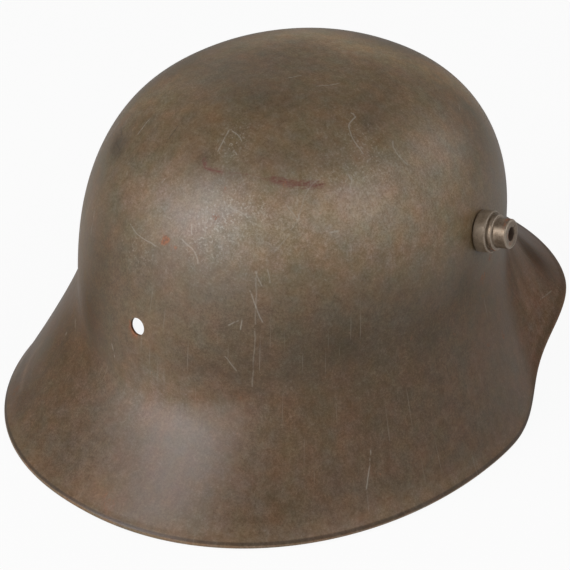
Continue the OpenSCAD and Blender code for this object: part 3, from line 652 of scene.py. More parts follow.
def line_layers(points, strokes):
    """Scratches as layers of (distance across, distance inside the ends, strength) at each point.

    Strokes that lie close together go in different layers, so that each layer blends cleanly
    between the points of the mesh.
    """
    layers = [np.tile([9.0, -9.0, 0.0], (len(points), 1)) for _ in range(LINE_LAYERS)]
    taken = [np.full((1, 3), 1e6) for _ in range(LINE_LAYERS)]
    for strength, *marks in strokes:
        line = trace(marks)
        gaps = [np.linalg.norm(line[:, None] - t[None], axis=2).min() for t in taken]
        k = next((i for i, g in enumerate(gaps) if g > 2 * LINE_REACH), int(np.argmax(gaps)))
        taken[k] = np.vstack([taken[k], line])
        lo, hi = line.min(0) - LINE_REACH, line.max(0) + LINE_REACH
        idx = np.flatnonzero(((points > lo) & (points < hi)).all(1))
        across, inside = beside_line(points[idx], line)
        full = ease(LINE_REACH, LINE_REACH / 2, np.abs(across)) * ease(-LINE_REACH, -LINE_REACH / 2, inside)
        better = (full > 0) & (np.abs(across) < np.abs(layers[k][idx, 0]))
        layers[k][idx[better]] = np.stack([across, inside, strength * full], 1)[better]
    return layers


def stray_strokes(count, seed):
    """Seeded short scratches on the side that the photo doesn't show."""
    rng = np.random.default_rng(seed)
    out = []
    for _ in range(count):
        th, v = rng.uniform(-40, 150), rng.uniform(0.2, 1.9)
        turn, size = rng.uniform(0, math.pi), rng.uniform(2, 14)
        out.append((rng.uniform(0.25, 0.7) * (1 if rng.random() < 0.8 else -1), (th, v),
                    (th + size * 0.6 * math.cos(turn), v + size * 0.008 * math.sin(turn))))
    return out


def wear_and_painted_light_fields(points):
    """The facts about the shell's paint at each point of its mesh, with its painted highlights and shade,
    for the material.
    """
    fields = {
        "tone": soft_patches(points, [p[:5] for p in PATCHES]),
        "cool": soft_patches(points, [p[:4] + p[5:] for p in PATCHES]),
        "rust": soft_patches(points, [(a, v, r, r, k) for a, v, r, k in RUST_SPOTS]),
        "smudge": soft_patches(points, SMUDGES), "scuff": soft_patches(points, SCUFFS)}
    fields["rub"] = np.max([strength * soft_line(points, width, marks)
                            for strength, width, *marks in RUBS], 0)
    # painted highlights and painted shade along the sheet's turns
    for tone, width, *marks in CREASE_HIGHLIGHTS_AND_SHADE:
        fields["tone"] += tone * soft_line(points, width, marks)
    # a halo of rust round the empty pin hole, most of all below it
    off = points - (wall_at(180, wall_up(180, BAND[2])) + SHIFT)
    far = np.linalg.norm(off, axis=1)
    fields["rust"] += np.exp(-((far - 4.6) / 1.0) ** 2) * (0.62 - 0.05 * off[:, 2] + 0.05 * off[:, 0])
    for k, layer in enumerate(line_layers(points, list(SCRATCHES) + stray_strokes(34, 8))):
        fields["line_%d" % k] = layer
    return fields


def shell_paint():
    s = Shader("shell_paint", roughness=0.4)
    wrap = s.wrapped()
    _, y, z = s.axes()
    rim_mm, inside, painted = s.field("rim_mm"), s.field("inside"), s.field("tone")
    visor = s.span(y, -0.036, -0.060) * s.span(rim_mm, 62, 40)
    skirt = 1.0 - visor

    broad = s.noise(s.where, 16, 3, 0.5, 0.3)
    speck = s.noise(s.where, 240, 4, 0.62)
    grain = s.noise(s.where, 950, 2, 0.6)
    fine = s.noise(s.where, 2300, 1, 0.5)
    streak = s.noise(s.stretch(wrap, (420, 30, 1)), 1.0, 2, 0.6)
    wander = s.noise(s.where, 130, 2, 0.5)

    # how light, how grey and how ruddy the paint is: what is lighter is also greyer
    mottle = (s.sway(speck, 0.24, 0.25, 0.75) + s.sway(grain, 0.32, 0.2, 0.8) + s.sway(fine, 0.24, 0.2, 0.8)
              + s.span(z, 0.075, 0.045) * s.sway(streak, 0.08, 0.25, 0.75))
    # the tone field holds the paint's patches, with painted highlights among them, and the painted crease
    # lines
    tone = (painted + mottle + s.sway(broad, 0.10) + s.span(z, 0.045, 0.085, -0.03, 0.07)
            - s.field("smudge") * 0.7)
    cool = s.field("cool") + s.sway(wander, 0.09) + mottle * 0.40
    # the visor is browner, with a dark band along its rim that is partly its colour and partly painted
    # shade where it turns away, a faint painted highlight at the band's inner border, and a pale edge that
    # is a painted highlight
    band = visor * s.span(rim_mm + s.sway(wander, 0.6), 6.4, 4.6)
    tone = (tone + visor * 0.12 + visor * s.span(rim_mm, 9, 6) * 0.06 - band * 0.24
            + visor * s.span(rim_mm, 1.4, 0.2) * 0.34)
    cool = cool + visor * 0.15 - band * 0.06
    # the skirt's rim: a slightly lighter strip, painted shade in the crease where the bead starts, a pale
    # bead that is partly wear and partly painted highlight, and painted shade under it
    for lo, hi, gain in ((9.0, 3.0, 0.16), (2.2, 1.2, -0.62), (0.1, -0.7, 0.98), (-2.0, -3.0, -1.5)):
        tone = tone + skirt * s.span(rim_mm, lo, hi) * gain
    tone = tone - inside * 0.35
    ruddy = (s.sway(s.noise(s.where, 85, 3, 0.6), 0.10) + s.span(z, 0.045, 0.085, 0.045, -0.025)
             - cool * 0.5 + visor * 0.12)
    mult = s.pack(*[s.math("EXPONENT", channel) for channel in (tone + ruddy, tone, tone + cool)])
    colour = s.node("VectorMath", {0: mult, 1: OLIVE[:3]}, operation="MULTIPLY")

    # the reddish abrasion, rust, scuffs and scratches
    dash = s.noise(s.stretch(wrap, (380, 1800, 1)), 1.0, 3, 0.7)
    rub = s.span(s.field("rub") * 0.8 + dash, 0.94, 1.42)
    colour = s.mix(rub * 0.80, colour, srgb(104, 52, 42))
    drip = s.noise(s.stretch(wrap, (800, 380, 1)), 1.0, 3, 0.6)
    rust = s.field("rust")
    rust = s.span(rust * 0.75 + drip, 0.82, 1.20) * s.span(rust, 0.08, 0.30)
    colour = s.mix(rust * 0.78, colour, s.mix(s.span(grain, 0.35, 0.65), RUST, DEEP_RUST))
    stray = s.span(speck, 0.69, 0.75) * s.span(broad, 0.48, 0.60)
    colour = s.mix(stray * 0.40, colour, RUST)
    lines = 0.0
    for k in range(LINE_LAYERS):
        across, within, strength = s.axes(s.field("line_%d" % k, "Vector"))
        off = s.math("ABSOLUTE", across + s.sway(wander, 0.35))
        lines = lines + s.span(off, 0.46, 0.10) * s.span(within, -0.3, 0.6) * strength
    lines = lines * (s.span(speck, 0.34, 0.50) * (1.0 - inside))
    hair = s.noise(s.stretch(wrap, (1500, 30, 1), (0, 0, 28)), 1.0, 0, 0.5)
    hair = s.span(hair, 0.76, 0.82) * s.span(broad, 0.50, 0.60)
    fleck = s.span(grain, 0.56, 0.68) * s.field("scuff")
    light = s.math("MAXIMUM", s.math("MAXIMUM", lines * 0.75, hair * 0.25), fleck * 0.55)
    colour = s.mix(light, colour, PALE)
    colour = s.mix(s.math("MAXIMUM", lines * -1.0, 0.0) * 0.8, colour, DARK)

    gloss = (s.span(broad, 0.3, 0.7, 0.33, 0.40, "LINEAR") + s.span(speck, 0.3, 0.7, -0.03, 0.05, "LINEAR")
             + s.math("MAXIMUM", rust, rub) * 0.25)
    # dirt dulls the dark patches, and the varnish gives the sheen a faint warm tint
    s.put(s.bsdf.inputs["Specular IOR Level"],
          s.span(painted, -0.9, 0.0, 0.08, 0.5) * s.span(visor, 0, 1, 1.0, 0.15))
    s.bsdf.inputs["Specular Tint"].default_value = (0.97, 0.93, 1.0, 1.0)
    return s.finish(colour, gloss, (grain + fine) * 0.3 + speck - light * 0.5, 0.18, 0.0003)


def worn_steel(name, base, worn, rust=0.3, roughness=0.42, metallic=0.55, scale=1.0):
    """Old painted or oxidised steel: dull tone, bare spots and rust in the pits."""
    s = Shader(name, roughness=roughness, metallic=metallic)
    blotch = s.noise(s.where, 120 * scale, 5, 0.65, 0.5)
    grain = s.noise(s.where, 1500 * scale, 3, 0.6)
    colour = s.mix(s.span(blotch, 0.38, 0.62), base, worn)
    paler = s.mix(1.0, colour, (1.5, 1.48, 1.45, 1), "MULTIPLY")
    colour = s.mix(s.span(grain, 0.35, 0.75) * 0.4, colour, paler)
    pits = s.span(s.noise(s.where, 420 * scale, 5, 0.7), 0.56, 0.68) * rust
    colour = s.mix(pits, colour, RUST)
    rough = s.span(blotch, 0.3, 0.7, roughness - 0.08, roughness + 0.12) + pits * 0.4
    return s.finish(colour, rough, blotch + grain, 0.2, 0.0003, (1.0 - pits) * metallic)


def lug_steel():
    """Turned steel with most of its paint worn off: pale edges, partly bare metal and partly painted
    highlight, rust below, and grime with painted shade in the hollows, the vent and along the foot.
    """
    s = Shader("lug_steel", roughness=0.34)
    blotch = s.noise(s.where, 260, 4, 0.6)
    grain = s.noise(s.where, 1500, 3, 0.6)
    painted = s.field("painted")
    ragged = s.sway(grain, 0.25)
    edge = s.span(s.field("edge") + ragged, 0.35, 0.85)
    rusty = s.field("rusty")
    rusty = s.span(rusty + s.sway(blotch, 0.35), 0.35, 0.75) * s.span(rusty, 0.05, 0.2)
    grime_and_shade = s.span(s.field("grime_and_shade") + ragged, 0.3, 0.7)
    # the pale coat on the edges is partly bare metal and partly painted highlight; the dark last coat is
    # grime and painted shade
    colour = s.coats(
        srgb(118, 100, 82), (s.span(blotch, 0.38, 0.62), srgb(150, 133, 115)),
        (s.span(grain, 0.35, 0.75) * 0.35, srgb(172, 158, 144)), (painted * 0.4, srgb(124, 110, 90)),
        (rusty * 0.75, s.mix(s.span(grain, 0.4, 0.6), srgb(158, 94, 52), DEEP_RUST)),
        (edge * 0.55, srgb(184, 170, 154)), (grime_and_shade * 0.75, srgb(70, 50, 40)))
    dull = s.math("MAXIMUM", rusty, grime_and_shade)
    rough = s.span(blotch, 0.3, 0.7, 0.27, 0.42, "LINEAR") + dull * 0.3
    return s.finish(colour, rough, blotch + grain, 0.2, 0.0003, (1.0 - dull) * (1.0 - painted * 0.6) * 0.6)


def leather():
    s = Shader("liner_leather", roughness=0.6, specular=0.35)
    tone = s.noise(s.where, 24, 4, 0.6, 0.3)
    stain = s.span(s.noise(s.where, 60, 4, 0.6), 0.55, 0.7)
    crease = s.span(s.cells(s.stretch(s.where, (1, 1, 0.6)), 150, "DISTANCE_TO_EDGE"), 0.0, 0.12)
    rub = s.span(s.noise(s.where, 300, 4, 0.7), 0.58, 0.7)
    colour = s.coats(srgb(116, 82, 54), (s.span(tone, 0.35, 0.65), srgb(86, 58, 38)),
                     (stain * 0.5, srgb(58, 40, 28)), (s.span(crease, 0.6, 0.0) * 0.35, srgb(56, 38, 26)),
                     (rub * 0.35, srgb(156, 122, 88)))
    pores = s.cells(s.where, 620)
    return s.finish(colour, s.span(tone, 0.3, 0.7, 0.52, 0.72), pores * 0.5 + crease, 0.35, 0.0005)


def cloth(name, light, dark, pitch=1.0, relief=0.5):
    """A plain weave: threads up and round the wall, pitch in millimetres."""
    s = Shader(name, roughness=0.9, specular=0.2)
    s.bsdf.inputs["Sheen Weight"].default_value = 0.25
    u, v, _ = s.axes(s.wrapped())
    k = math.pi / (pitch * MM)
    warp, weft = [s.math("ABSOLUTE", s.math("SINE", a * k)) for a in (u, v)]
    pick = s.math("SIGN", s.math("SINE", u * (k / 2)) * s.math("SINE", v * (k / 2))) * 0.5 + 0.5
    height = warp * pick + weft * (1.0 - pick)
    colour = s.mix(s.span(s.noise(s.where, 45, 4, 0.6), 0.35, 0.68), light, dark)
    shade = s.mix(1.0, dark, (0.55, 0.53, 0.5, 1), "MULTIPLY")
    colour = s.mix(s.span(height, 0.5, 0.05) * 0.5, colour, shade)
    slub = s.span(s.noise(s.where, 420, 4, 0.7), 0.58, 0.75)
    colour = s.mix(slub * 0.35, colour, light)
    return s.finish(colour, None, height, relief, 0.0004)


PAINT = shell_paint()
LUG_STEEL = lug_steel()
PIN_PAINT = worn_steel("pin_paint", srgb(98, 91, 74), srgb(84, 72, 57), 0.4, 0.45, 0.2)
BAND_STEEL = worn_steel("band_steel", srgb(74, 70, 60), srgb(92, 84, 70), 0.6, 0.5, 0.35, 0.6)
BARE_STEEL = worn_steel("bare_steel", srgb(110, 106, 98), srgb(84, 76, 66), 0.55, 0.4, 0.75)
WIRE_STEEL = worn_steel("wire_steel", srgb(118, 113, 104), srgb(86, 78, 66), 0.45, 0.36, 0.85)
LEATHER = leather()
HORSEHAIR = cloth("cushion_ticking", srgb(150, 134, 108), srgb(118, 102, 80), 0.9)
LINEN = cloth("pocket_linen", srgb(176, 164, 136), srgb(146, 132, 104), 1.1)
LACE = cloth("crown_lace_yarn", srgb(104, 86, 62), srgb(78, 62, 44), 0.6)
THREAD = cloth("sewing_thread", srgb(168, 152, 120), srgb(136, 120, 92), 0.4, 0.3)


def dress(ob, mat):
    ob.data.materials.clear()
    ob.data.materials.append(mat)


def settle(ob, body, mat, nodes=()):
    """Puts a finished piece in the part: its material, its body and what it replaces."""
    dress(ob, mat)
    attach(ob, body)
    if nodes:
        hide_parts(*nodes)
    return ob


# ---- shell
def build_shell():
    cols, wave, dome_len = 400, 0.10, 140
    th = np.arange(cols) * 360 / cols
    q_out, q_hem = last_q(th, 2), last_q(th, HEM_H)
    hem_depth = 2 * BEAD_R - BEAD_SWELL
    rows, info = [], []

    def add(points, rim_mm, inside):
        rows.append(points)
        info.append((np.broadcast_to(rim_mm, (cols,)), inside))

    def wavy(v, p, calm):
        return p + shell_out(th, v) * (wave * calm * ripple(p, 55, 4))[:, None]

    skirt_len = np.linalg.norm(rim(th) - waist(th), axis=-1)
    for v in np.linspace(1 / 72, 1, 72):
        add(wavy(v, shell_at(th, v), 1), skirt_len + (1 - v) * dome_len, 0)
    for i in range(1, 49):
        q = q_out * i / 48
        add(wavy(1 + q, skirt_at(th, q), 1 - q), (1 - q) * skirt_len, 0)
    for a in np.linspace(80, -80, 13):
        add(bead_at(th, a), math.radians(a - 80) * BEAD_R, 0)
    add(bead_at(th, -90), math.radians(-170) * BEAD_R, 1)
    for v, depth, rim_mm in ((1 + q_hem, hem_depth, 5), (0.988 + q_hem, SHEET, 7)):
        add(shell_at(th, v) - depth * shell_out(th, v), rim_mm, 1)
    for i in range(29, 0, -1):
        v = 1 + q_hem * i / 30
        add(shell_at(th, v) - SHEET * shell_out(th, v), (2 - v) * skirt_len, 1)
    for v in np.linspace(1, 1 / 44, 44):
        add(shell_at(th, v) - SHEET * shell_out(th, v), skirt_len + (1 - v) * dome_len, 1)

    grid = np.stack(rows, 1)
    m, top = grid.shape[1], grid.shape[1] * cols
    flat = grid.reshape(-1, 3)
    pts = np.vstack([flat, [[0, CROWN_BACK, CROWN_H], [0, CROWN_BACK, CROWN_H - SHEET]]])
    faces = [(i * m + j, k * m + j, k * m + j + 1, i * m + j + 1)
             for i, k in zip(range(cols), [*range(1, cols), 0]) for j in range(m - 1)]
    for i in range(cols):
        k = (i + 1) % cols
        faces += [(top, k * m, i * m), (top + 1, i * m + m - 1, k * m + m - 1)]
    ob = face_outwards(new_object("helmet_shell", pts, faces))
    holes = [(wall_frame(a, z, s), r, 8) for s in (-1, 1)
             for a, z, r in ((LUG_ANGLE, LUG_H, LUG_SHANK_D / 2 + 0.1),
                             (PIN_ANGLE, float(band_mid(PIN_ANGLE)), PIN_HOLE_D / 2))]
    cut_holes(ob, holes + [(wall_frame(180, BAND[2]), PIN_HOLE_D / 2, 8)])
    # facts about each point for the paint: how far it is from the rim, and which face it is on
    tree = kdtree.KDTree(len(flat))
    for k, p in enumerate(flat + SHIFT):
        tree.insert(p * MM, k)
    tree.balance()
    nearest = [tree.find(v.co)[1] for v in ob.data.vertices]
    rim_mm, inside = np.stack([a for a, _ in info], 1).reshape(-1), np.tile([b for _, b in info], cols)
    set_fields(ob.data, wear_and_painted_light_fields(coordinates(ob.data) / MM)
               | {"rim_mm": rim_mm[nearest], "inside": inside[nearest]})
    return shade(ob, 42)


settle(build_shell(), "helmet", PAINT, ["shell"])


# ---- vent lugs
def arc(cx, cz, r, a0, a1, steps=6):
    return [(cx + r * math.cos(math.radians(a)), cz + r * math.sin(math.radians(a)))
            for a in np.linspace(a0, a1, steps)]


def lug_profile():
    base_r, collar_r, tip_r, shank_r, vent_r = 9.6, 8.2, 6.8, 5.5, 2.9
    depth = SHEET + HOLLOW_SEAT + 0.9 + 0.1
    return ([(vent_r + 1.4, -depth - 0.9), (shank_r + 0.9, -depth - 0.9)]
            + arc(shank_r + 0.9, -depth - 0.4, 0.5, -90, 0, 4)
            + [(shank_r + 1.4, -depth), (shank_r, -depth), (shank_r, 0.1), (base_r - 0.5, 0.1)]
            + arc(base_r - 0.5, 0.6, 0.5, -80, 0, 4)
            + [(base_r, 1.6), (base_r, 2.6), (base_r, 3.6), (base_r, 4.6)]
            + arc(base_r - 0.8, 5.4, 0.8, 0, 86, 7)
            + [(collar_r + 0.55, 6.15), (collar_r + 0.2, 5.95), (collar_r - 0.2, 5.95),
               (collar_r - 0.25, 6.2)]
            + arc(collar_r - 0.7, 7.0, 0.7, -50, 0, 5)
            + arc(collar_r - 0.7, 8.0, 0.7, 10, 84, 6)
            + [(tip_r + 0.25, 8.7), (tip_r + 0.05, 8.85)]
            + [(tip_r, 9.2), (tip_r, 10.2), (tip_r, 11.2), (tip_r, 12.2), (tip_r, 13.2), (tip_r, 13.9)]
            + arc(tip_r - 0.95, 14.05, 0.95, 8, 84, 8)
            + [(vent_r + 2.6, 14.98), (vent_r + 1.6, 14.98)]
            + arc(vent_r + 0.9, 14.2, 0.7, 90, 180, 5)
            + [(vent_r, 12.8), (vent_r, 6.2), (vent_r + 1.4, 4.6)])


def lug_fields(profile, matrix, steps):
    """Pale edges (wear and painted highlight), rust, and grime with painted shade, for each point of a
    turned lug, in the order of its points.
    """
    r, z = np.tile(np.array(profile), (steps, 1)).T
    turn = np.repeat(np.arange(steps), len(profile)) * 2 * math.pi / steps
    # how far a point lies below the lug's axis, from -1 to 1
    low = -np.array([(matrix.to_3x3() @ Vector((math.cos(a), math.sin(a), 0))).z for a in turn])
    outside = (r > 3.2) & (z > 0.5)

    def near(value, at, reach):
        return np.exp(-((value - at) / reach) ** 2)

    # pale rings on the edges of the base, collar and tip: partly worn paint, partly painted highlight
    edge = outside * (0.6 * near(z, 5.9, 0.5) * (r > 9) + 0.8 * near(z, 8.5, 0.4) * (r > 7)
                      + near(z, 14.8, 0.5) * (r > 5.6) + 0.35 * near(z, 1.0, 0.5) * (r > 9))
    rust = outside * (near(z, 7.4, 1.3) * (r > 7) * ease(0.1, 0.9, low)
                      + 0.5 * near(z, 1.5, 2.0) * ease(0.5, 1, low) + 0.45 * (r < 5) * (z > 14)
                      + 0.8 * near(z, 13.4, 1.4) * (r > 5) * ease(-0.35, -0.95, low)
                      + 0.7 * near(z, 13.6, 0.9) * (r > 5) * ease(0.3, 0.9, low))
    # darker in the groove, under the collar and down the vent: grime and painted shade; darker where the
    # base sits on the shell: a painted contact shadow
    grime_and_shade = (0.35 * near(z, 5.9, 0.3) * (r < 8.9) * (r > 7) + near(z, 0.1, 0.35)
            + 0.45 * near(z, 8.9, 0.3) * (r < 7.4) + (r < 3.4) * (z < 14.2)
            + 0.9 * near(z, 14.3, 0.35) * (r < 3.6))
    fields = {"edge": edge, "rusty": rust, "grime_and_shade": grime_and_shade, "painted": (z < 6.3) * 1.0}
    return {name: np.clip(values, 0, 1) for name, values in fields.items()}


for side, name in ((1, "left_lug"), (-1, "right_lug")):
    at, steps = wall_frame(LUG_ANGLE, LUG_H, side), 112
    lug = revolve(name + "_turned", lug_profile(), at, steps)
    set_fields(lug.data, lug_fields(lug_profile(), at, steps))
    settle(lug, "helmet", LUG_STEEL, [name])


# ---- liner band
def build_band():
    cols = 240
    th = np.arange(cols) * 360 / cols

    def at(rise, depth):
        up = wall_up(th, band_mid(th) + rise)
        return wall_at(th, up) - depth * wall_out(th, up)

    half, r = BAND_H / 2, 0.35
    outer = [at(h, BAND_OUT) for h in np.linspace(half - r, -half + r, 7)]
    inner = [at(h, BAND_IN) for h in np.linspace(-half + r, half - r, 7)]
    low = [at(-half, BAND_OUT + 0.3), at(-half, BAND_IN - 0.3)]
    high = [at(half, BAND_IN - 0.3), at(half, BAND_OUT + 0.3)]
    grid = np.stack(outer + low + inner + high, 1)
    ob = face_outwards(new_object("liner_ring", grid, ring_faces(cols, grid.shape[1])))
    holes = [(wall_frame(PIN_ANGLE, float(band_mid(PIN_ANGLE)), s), 4.2, 6) for s in (-1, 1)]
    rear = wall_frame(180, BAND[2])
    holes += [(rear @ Matrix.Translation((x, 0, 0)), 5, 6) for x in (-3.5, -1.75, 0, 1.75, 3.5)]
    cut_holes(ob, holes)
    return shade(ob, 40)


settle(build_band(), "helmet", BAND_STEEL, ["liner_band"])


# ---- leather pads
def pad_point(start, end, crowns, col, v, depth=0.0):
    """A point of a pad: col from 0 to 2 across its two fingers, v from 0 to 1 up it."""
    finger = np.where(col > 1, 1, 0)
    u = 2 * (col - finger) - 1
    base = lerp(start, end, col / 2)
    crown = np.where(finger == 1, crowns[1], crowns[0]) + u * TIP_HALF
    vv = v * (1 - 0.12 * u ** 4 * ease(SLIT_START, 1, v))
    th = lerp(base, crown, ease(SLIT_START * 0.7, 1, vv))
    return lining_at(th, vv) - np.asarray(depth)[..., None] * lining_out(th, vv)


def build_pad(name, start, end, crowns, seed):
    per, rows = 13, 30
    cols = np.concatenate([np.linspace(0, 1, per), np.linspace(1 + 1e-6, 2, per)])
    vs = np.linspace(0, 1, rows)
    col, v = np.meshgrid(cols, vs, indexing="ij")
    slack = 0.25 * ripple(pad_point(start, end, crowns, col, v), 26, seed) * ease(0.1, 0.4, v)
    outer = pad_point(start, end, crowns, col, v, -np.minimum(slack, 0) * 0.6)
    inner = pad_point(start, end, crowns, col, v, LEATHER_T - slack * 0.6)
    m, n = rows, 2 * per
    slit_row = round(SLIT_START * (rows - 1))
    k = n * m

    def p(i, j):
        return (i - 1 if i == per and j <= slit_row else i) * m + j

    faces = []
    cells = [i for i in range(n - 1) if i != per - 1]
    for i in cells:
        for j in range(rows - 1):
            faces.append((p(i, j), p(i, j + 1), p(i + 1, j + 1), p(i + 1, j)))
            faces.append((k + p(i, j), k + p(i + 1, j), k + p(i + 1, j + 1), k + p(i, j + 1)))
        for j in (0, rows - 1):
            faces.append((p(i, j), p(i + 1, j), k + p(i + 1, j), k + p(i, j)))
    for i, low in ((0, 0), (per, slit_row), (per - 1, slit_row), (n - 1, 0)):
        for j in range(low, rows - 1):
            faces.append((p(i, j), k + p(i, j), k + p(i, j + 1), p(i, j + 1)))
    ob = face_outwards(new_object(name, np.stack([outer, inner]), faces), drop_loose=True)
    cut_holes(ob, [(Matrix.Translation(Vector(lining_at(c, LACE_V) + SHIFT)), LACE_HOLE_D / 2, 7)
                   for c in crowns])
    soft = ob.modifiers.new("edges", "BEVEL")
    soft.width, soft.segments, soft.limit_method, soft.angle_limit = 0.0005, 2, "ANGLE", math.radians(50)
    apply_modifiers(ob)
    return shade(ob)


def mirrored(ob, name):
    """The same piece on the other side of the helmet's middle plane."""
    me = ob.data.copy()
    me.name = name
    me.transform(Matrix.Diagonal((-1, 1, 1, 1)))
    me.flip_normals()
    twin = bpy.data.objects.new(name, me)
    scene.collection.objects.link(twin)
    return twin


def with_twin(ob, name):
    """A piece and its side's name, and for the rear left one its mirrored copy as well."""
    pieces = [(ob, name)]
    if name == "rear_left":
        pieces.append((mirrored(ob, ob.name.replace("left", "right")), "rear_right"))
    return pieces


# name, first and last angle, angles of the finger tips, last digit of the seeds
PADS = (("front", FRONT_PAD, (-30, 30), 1), ("rear_left", REAR_PAD, (90, 150), 2))
for name, (start, end), crowns, k in PADS:
    for pad, side in with_twin(build_pad(name + "_leather", start, end, crowns, 10 + k), name):
        settle(pad, "helmet", LEATHER, [side + "_pad"])


# ---- cushions and pockets
CUSHION_LOW, CUSHION_HIGH, CUSHION_MARGIN, CUSHION_SEAT = 0.13, 0.55, 7, 0.6
PUFF_FRAMES, PUFF_CAP = 20, 1.1


def cushion_swell(u, w):
    inside = (np.abs(u) < 1) & (w > 0) & (w < 1)
    uu, ww = np.clip(u, -1, 1), np.clip(w, 0, 1)
    return np.where(inside, CUSHION_T * np.sqrt(1 - uu ** 4) * ww ** 0.9 * np.sqrt(1 - ww ** 6), 0)


def cushion_span(start, end):
    """Middle and half width, in degrees, of the cushion behind a pad."""
    return (start + end) / 2, (end - start) / 2 - CUSHION_MARGIN


def crowded(cols):
    """Marks from -1 to 1 that lie closer at both ends."""
    return np.sin(np.radians(180 * np.arange(cols + 1) / cols - 90))


def above_lining(th, v, depth):
    return lining_at(th, v) + np.asarray(depth)[..., None] * lining_out(th, v)


def build_cushion(name, start, end, seed):
    cols, rows = 40, 22
    mid, half = cushion_span(start, end)
    us = crowded(cols)
    ws = (1 - np.cos(np.pi * np.arange(rows + 1) / rows)) / 2
    u, w = np.meshgrid(us, ws, indexing="ij")
    # the sides draw in between the corners, and the middle is tufted twice
    pull_u = u * (1 - 0.035 * np.sin(math.pi * w))
    pull_w = 0.5 + (w - 0.5) * (1 - 0.03 * np.cos(math.pi * u / 2))
    th, v = mid + pull_u * half, lerp(CUSHION_LOW, CUSHION_HIGH, pull_w)
    crown = cushion_swell(u, w)
    tuft = sum(np.exp(-((u - a) ** 2 / 0.012 + (w - 0.52) ** 2 / 0.02)) for a in (-0.42, 0.42))
    crown = crown * (1 - 0.22 * tuft) * (0.965 + 0.03 * ripple(above_lining(th, v, crown * 0), 14, seed))
    top = above_lining(th, v, CUSHION_SEAT + 0.3 + crown)
    base = above_lining(th, v, CUSHION_SEAT + 0 * crown)
    return slab(name, top, base)


def puff_up(ob, start, end):
    """Swells a cushion with the Cloth simulation, no point further than PUFF_CAP in mm."""
    remesh = ob.modifiers.new("remesh", "REMESH")
    remesh.mode, remesh.voxel_size = "VOXEL", 0.0024
    apply_modifiers(ob)
    me = ob.data
    co = coordinates(me)
    normals = np.array([v.normal[:] for v in me.vertices])
    before = co - normals * 0.5 * MM
    set_coordinates(me, before)
    # the points that lie against the leather are sewn down
    sewn = ob.vertex_groups.new(name="sewn")
    out = lining_out((start + end) / 2, 0.3)
    sewn.add(np.flatnonzero(normals @ out < -0.6).tolist(), 1.0, "REPLACE")
    cloth_mod = ob.modifiers.new("cloth", "CLOTH")
    use = cloth_mod.settings
    use.quality, use.mass, use.air_damping = 6, 0.25, 2.0
    use.tension_stiffness = use.compression_stiffness = 12
    use.shear_stiffness, use.bending_stiffness = 6, 0.4
    use.use_pressure, use.uniform_pressure_force = True, 4.0
    use.effector_weights.gravity = 0
    use.vertex_group_mass = "sewn"
    cloth_mod.point_cache.frame_start, cloth_mod.point_cache.frame_end = 1, PUFF_FRAMES
    for f in range(1, PUFF_FRAMES + 1):
        scene.frame_set(f)
    swollen = ob.evaluated_get(bpy.context.evaluated_depsgraph_get())
    after = coordinates(swollen.data)
    ob.modifiers.clear()
    ob.vertex_groups.clear()
    scene.frame_set(1)
    move = np.nan_to_num(after - before)
    far = np.linalg.norm(move, axis=1, keepdims=True)
    move *= np.minimum(1, PUFF_CAP * MM / np.maximum(far, 1e-9))
    set_coordinates(ob.data, before + move)
    finer = ob.modifiers.new("finer", "SUBSURF")
    finer.levels = finer.render_levels = 1
    apply_modifiers(ob)
    shade(ob)


def build_pocket(name, start, end, seed):
    cols, rows = 56, 24
    mid, half = cushion_span(start, end)
    reach = 1 + 3 / half
    us = reach * crowded(cols)
    low, full = CUSHION_LOW - 0.03, CUSHION_LOW - 0.005
    vs = np.concatenate([np.linspace(low, full, 5)[:-1], np.linspace(full, 0.36, rows)])
    u, v = np.meshgrid(us, vs, indexing="ij")
    w = (v - CUSHION_LOW) / (CUSHION_HIGH - CUSHION_LOW)
    lift = ease(reach, 1, np.abs(u)) * ease(low, full, v) * (cushion_swell(u / reach, w + 0.03) + 0.9)
    th = mid + u * half
    pucker = 0.12 * ripple(above_lining(th, v, 0 * u), 7, seed) * ease(0, 1.5, lift)
    outer = above_lining(th, v, CUSHION_SEAT + lift + LINEN_T + pucker)
    inner = above_lining(th, v, CUSHION_SEAT + lift + pucker)
    ob = slab(name, outer, inner)
    # the size that the linen was cut to: its length round the wall and up it, at the middle
    n, m = u.shape
    flat = [float(np.linalg.norm(np.diff(line, axis=0), axis=1).sum()) * MM
            for line in (outer[:, m // 2], outer[n // 2])]
    return ob, tuple(flat)


def build_stitches(name, start, end):
    """The stitches on the leather's inner face that sew the linen pocket to its back."""
    mid, half = cushion_span(start, end)
    reach = half + 1.6
    low, high = CUSHION_LOW - 0.018, 0.35
    edge = np.linspace(0, 1, 240)
    th = mid + np.concatenate([-reach + 0 * edge, lerp(-reach, reach, edge), reach + 0 * edge])
    v = np.concatenate([lerp(high, low, edge), low + 0 * edge, lerp(low, high, edge)])
    path, out = lining_at(th, v), lining_out(th, v)
    s = np.concatenate([[0], np.cumsum(np.linalg.norm(np.diff(path, axis=0), axis=1))])
    pts, faces = [], []
    for a in np.arange(1.0, s[-1] - 2.6, 3.1):
        at = np.linspace(a, a + 2.2, 6)
        line = np.stack([np.interp(at, s, path[:, k]) for k in range(3)], 1)
        n = unit(np.stack([np.interp(at, s, out[:, k]) for k in range(3)], 1))
        rise = np.sin(np.pi * np.linspace(0, 1, 6))
        line -= n * (LEATHER_T - 0.25 + 0.42 * rise)[:, None]
        ring, quads = tube_mesh(line, 0.16 + 0.16 * rise, 6, closed=False)
        first = sum(len(x) for x in pts)
        pts.append(ring)
        faces += [tuple(first + q for q in f) for f in quads]
    return face_outwards(new_object(name, np.vstack(pts), faces))


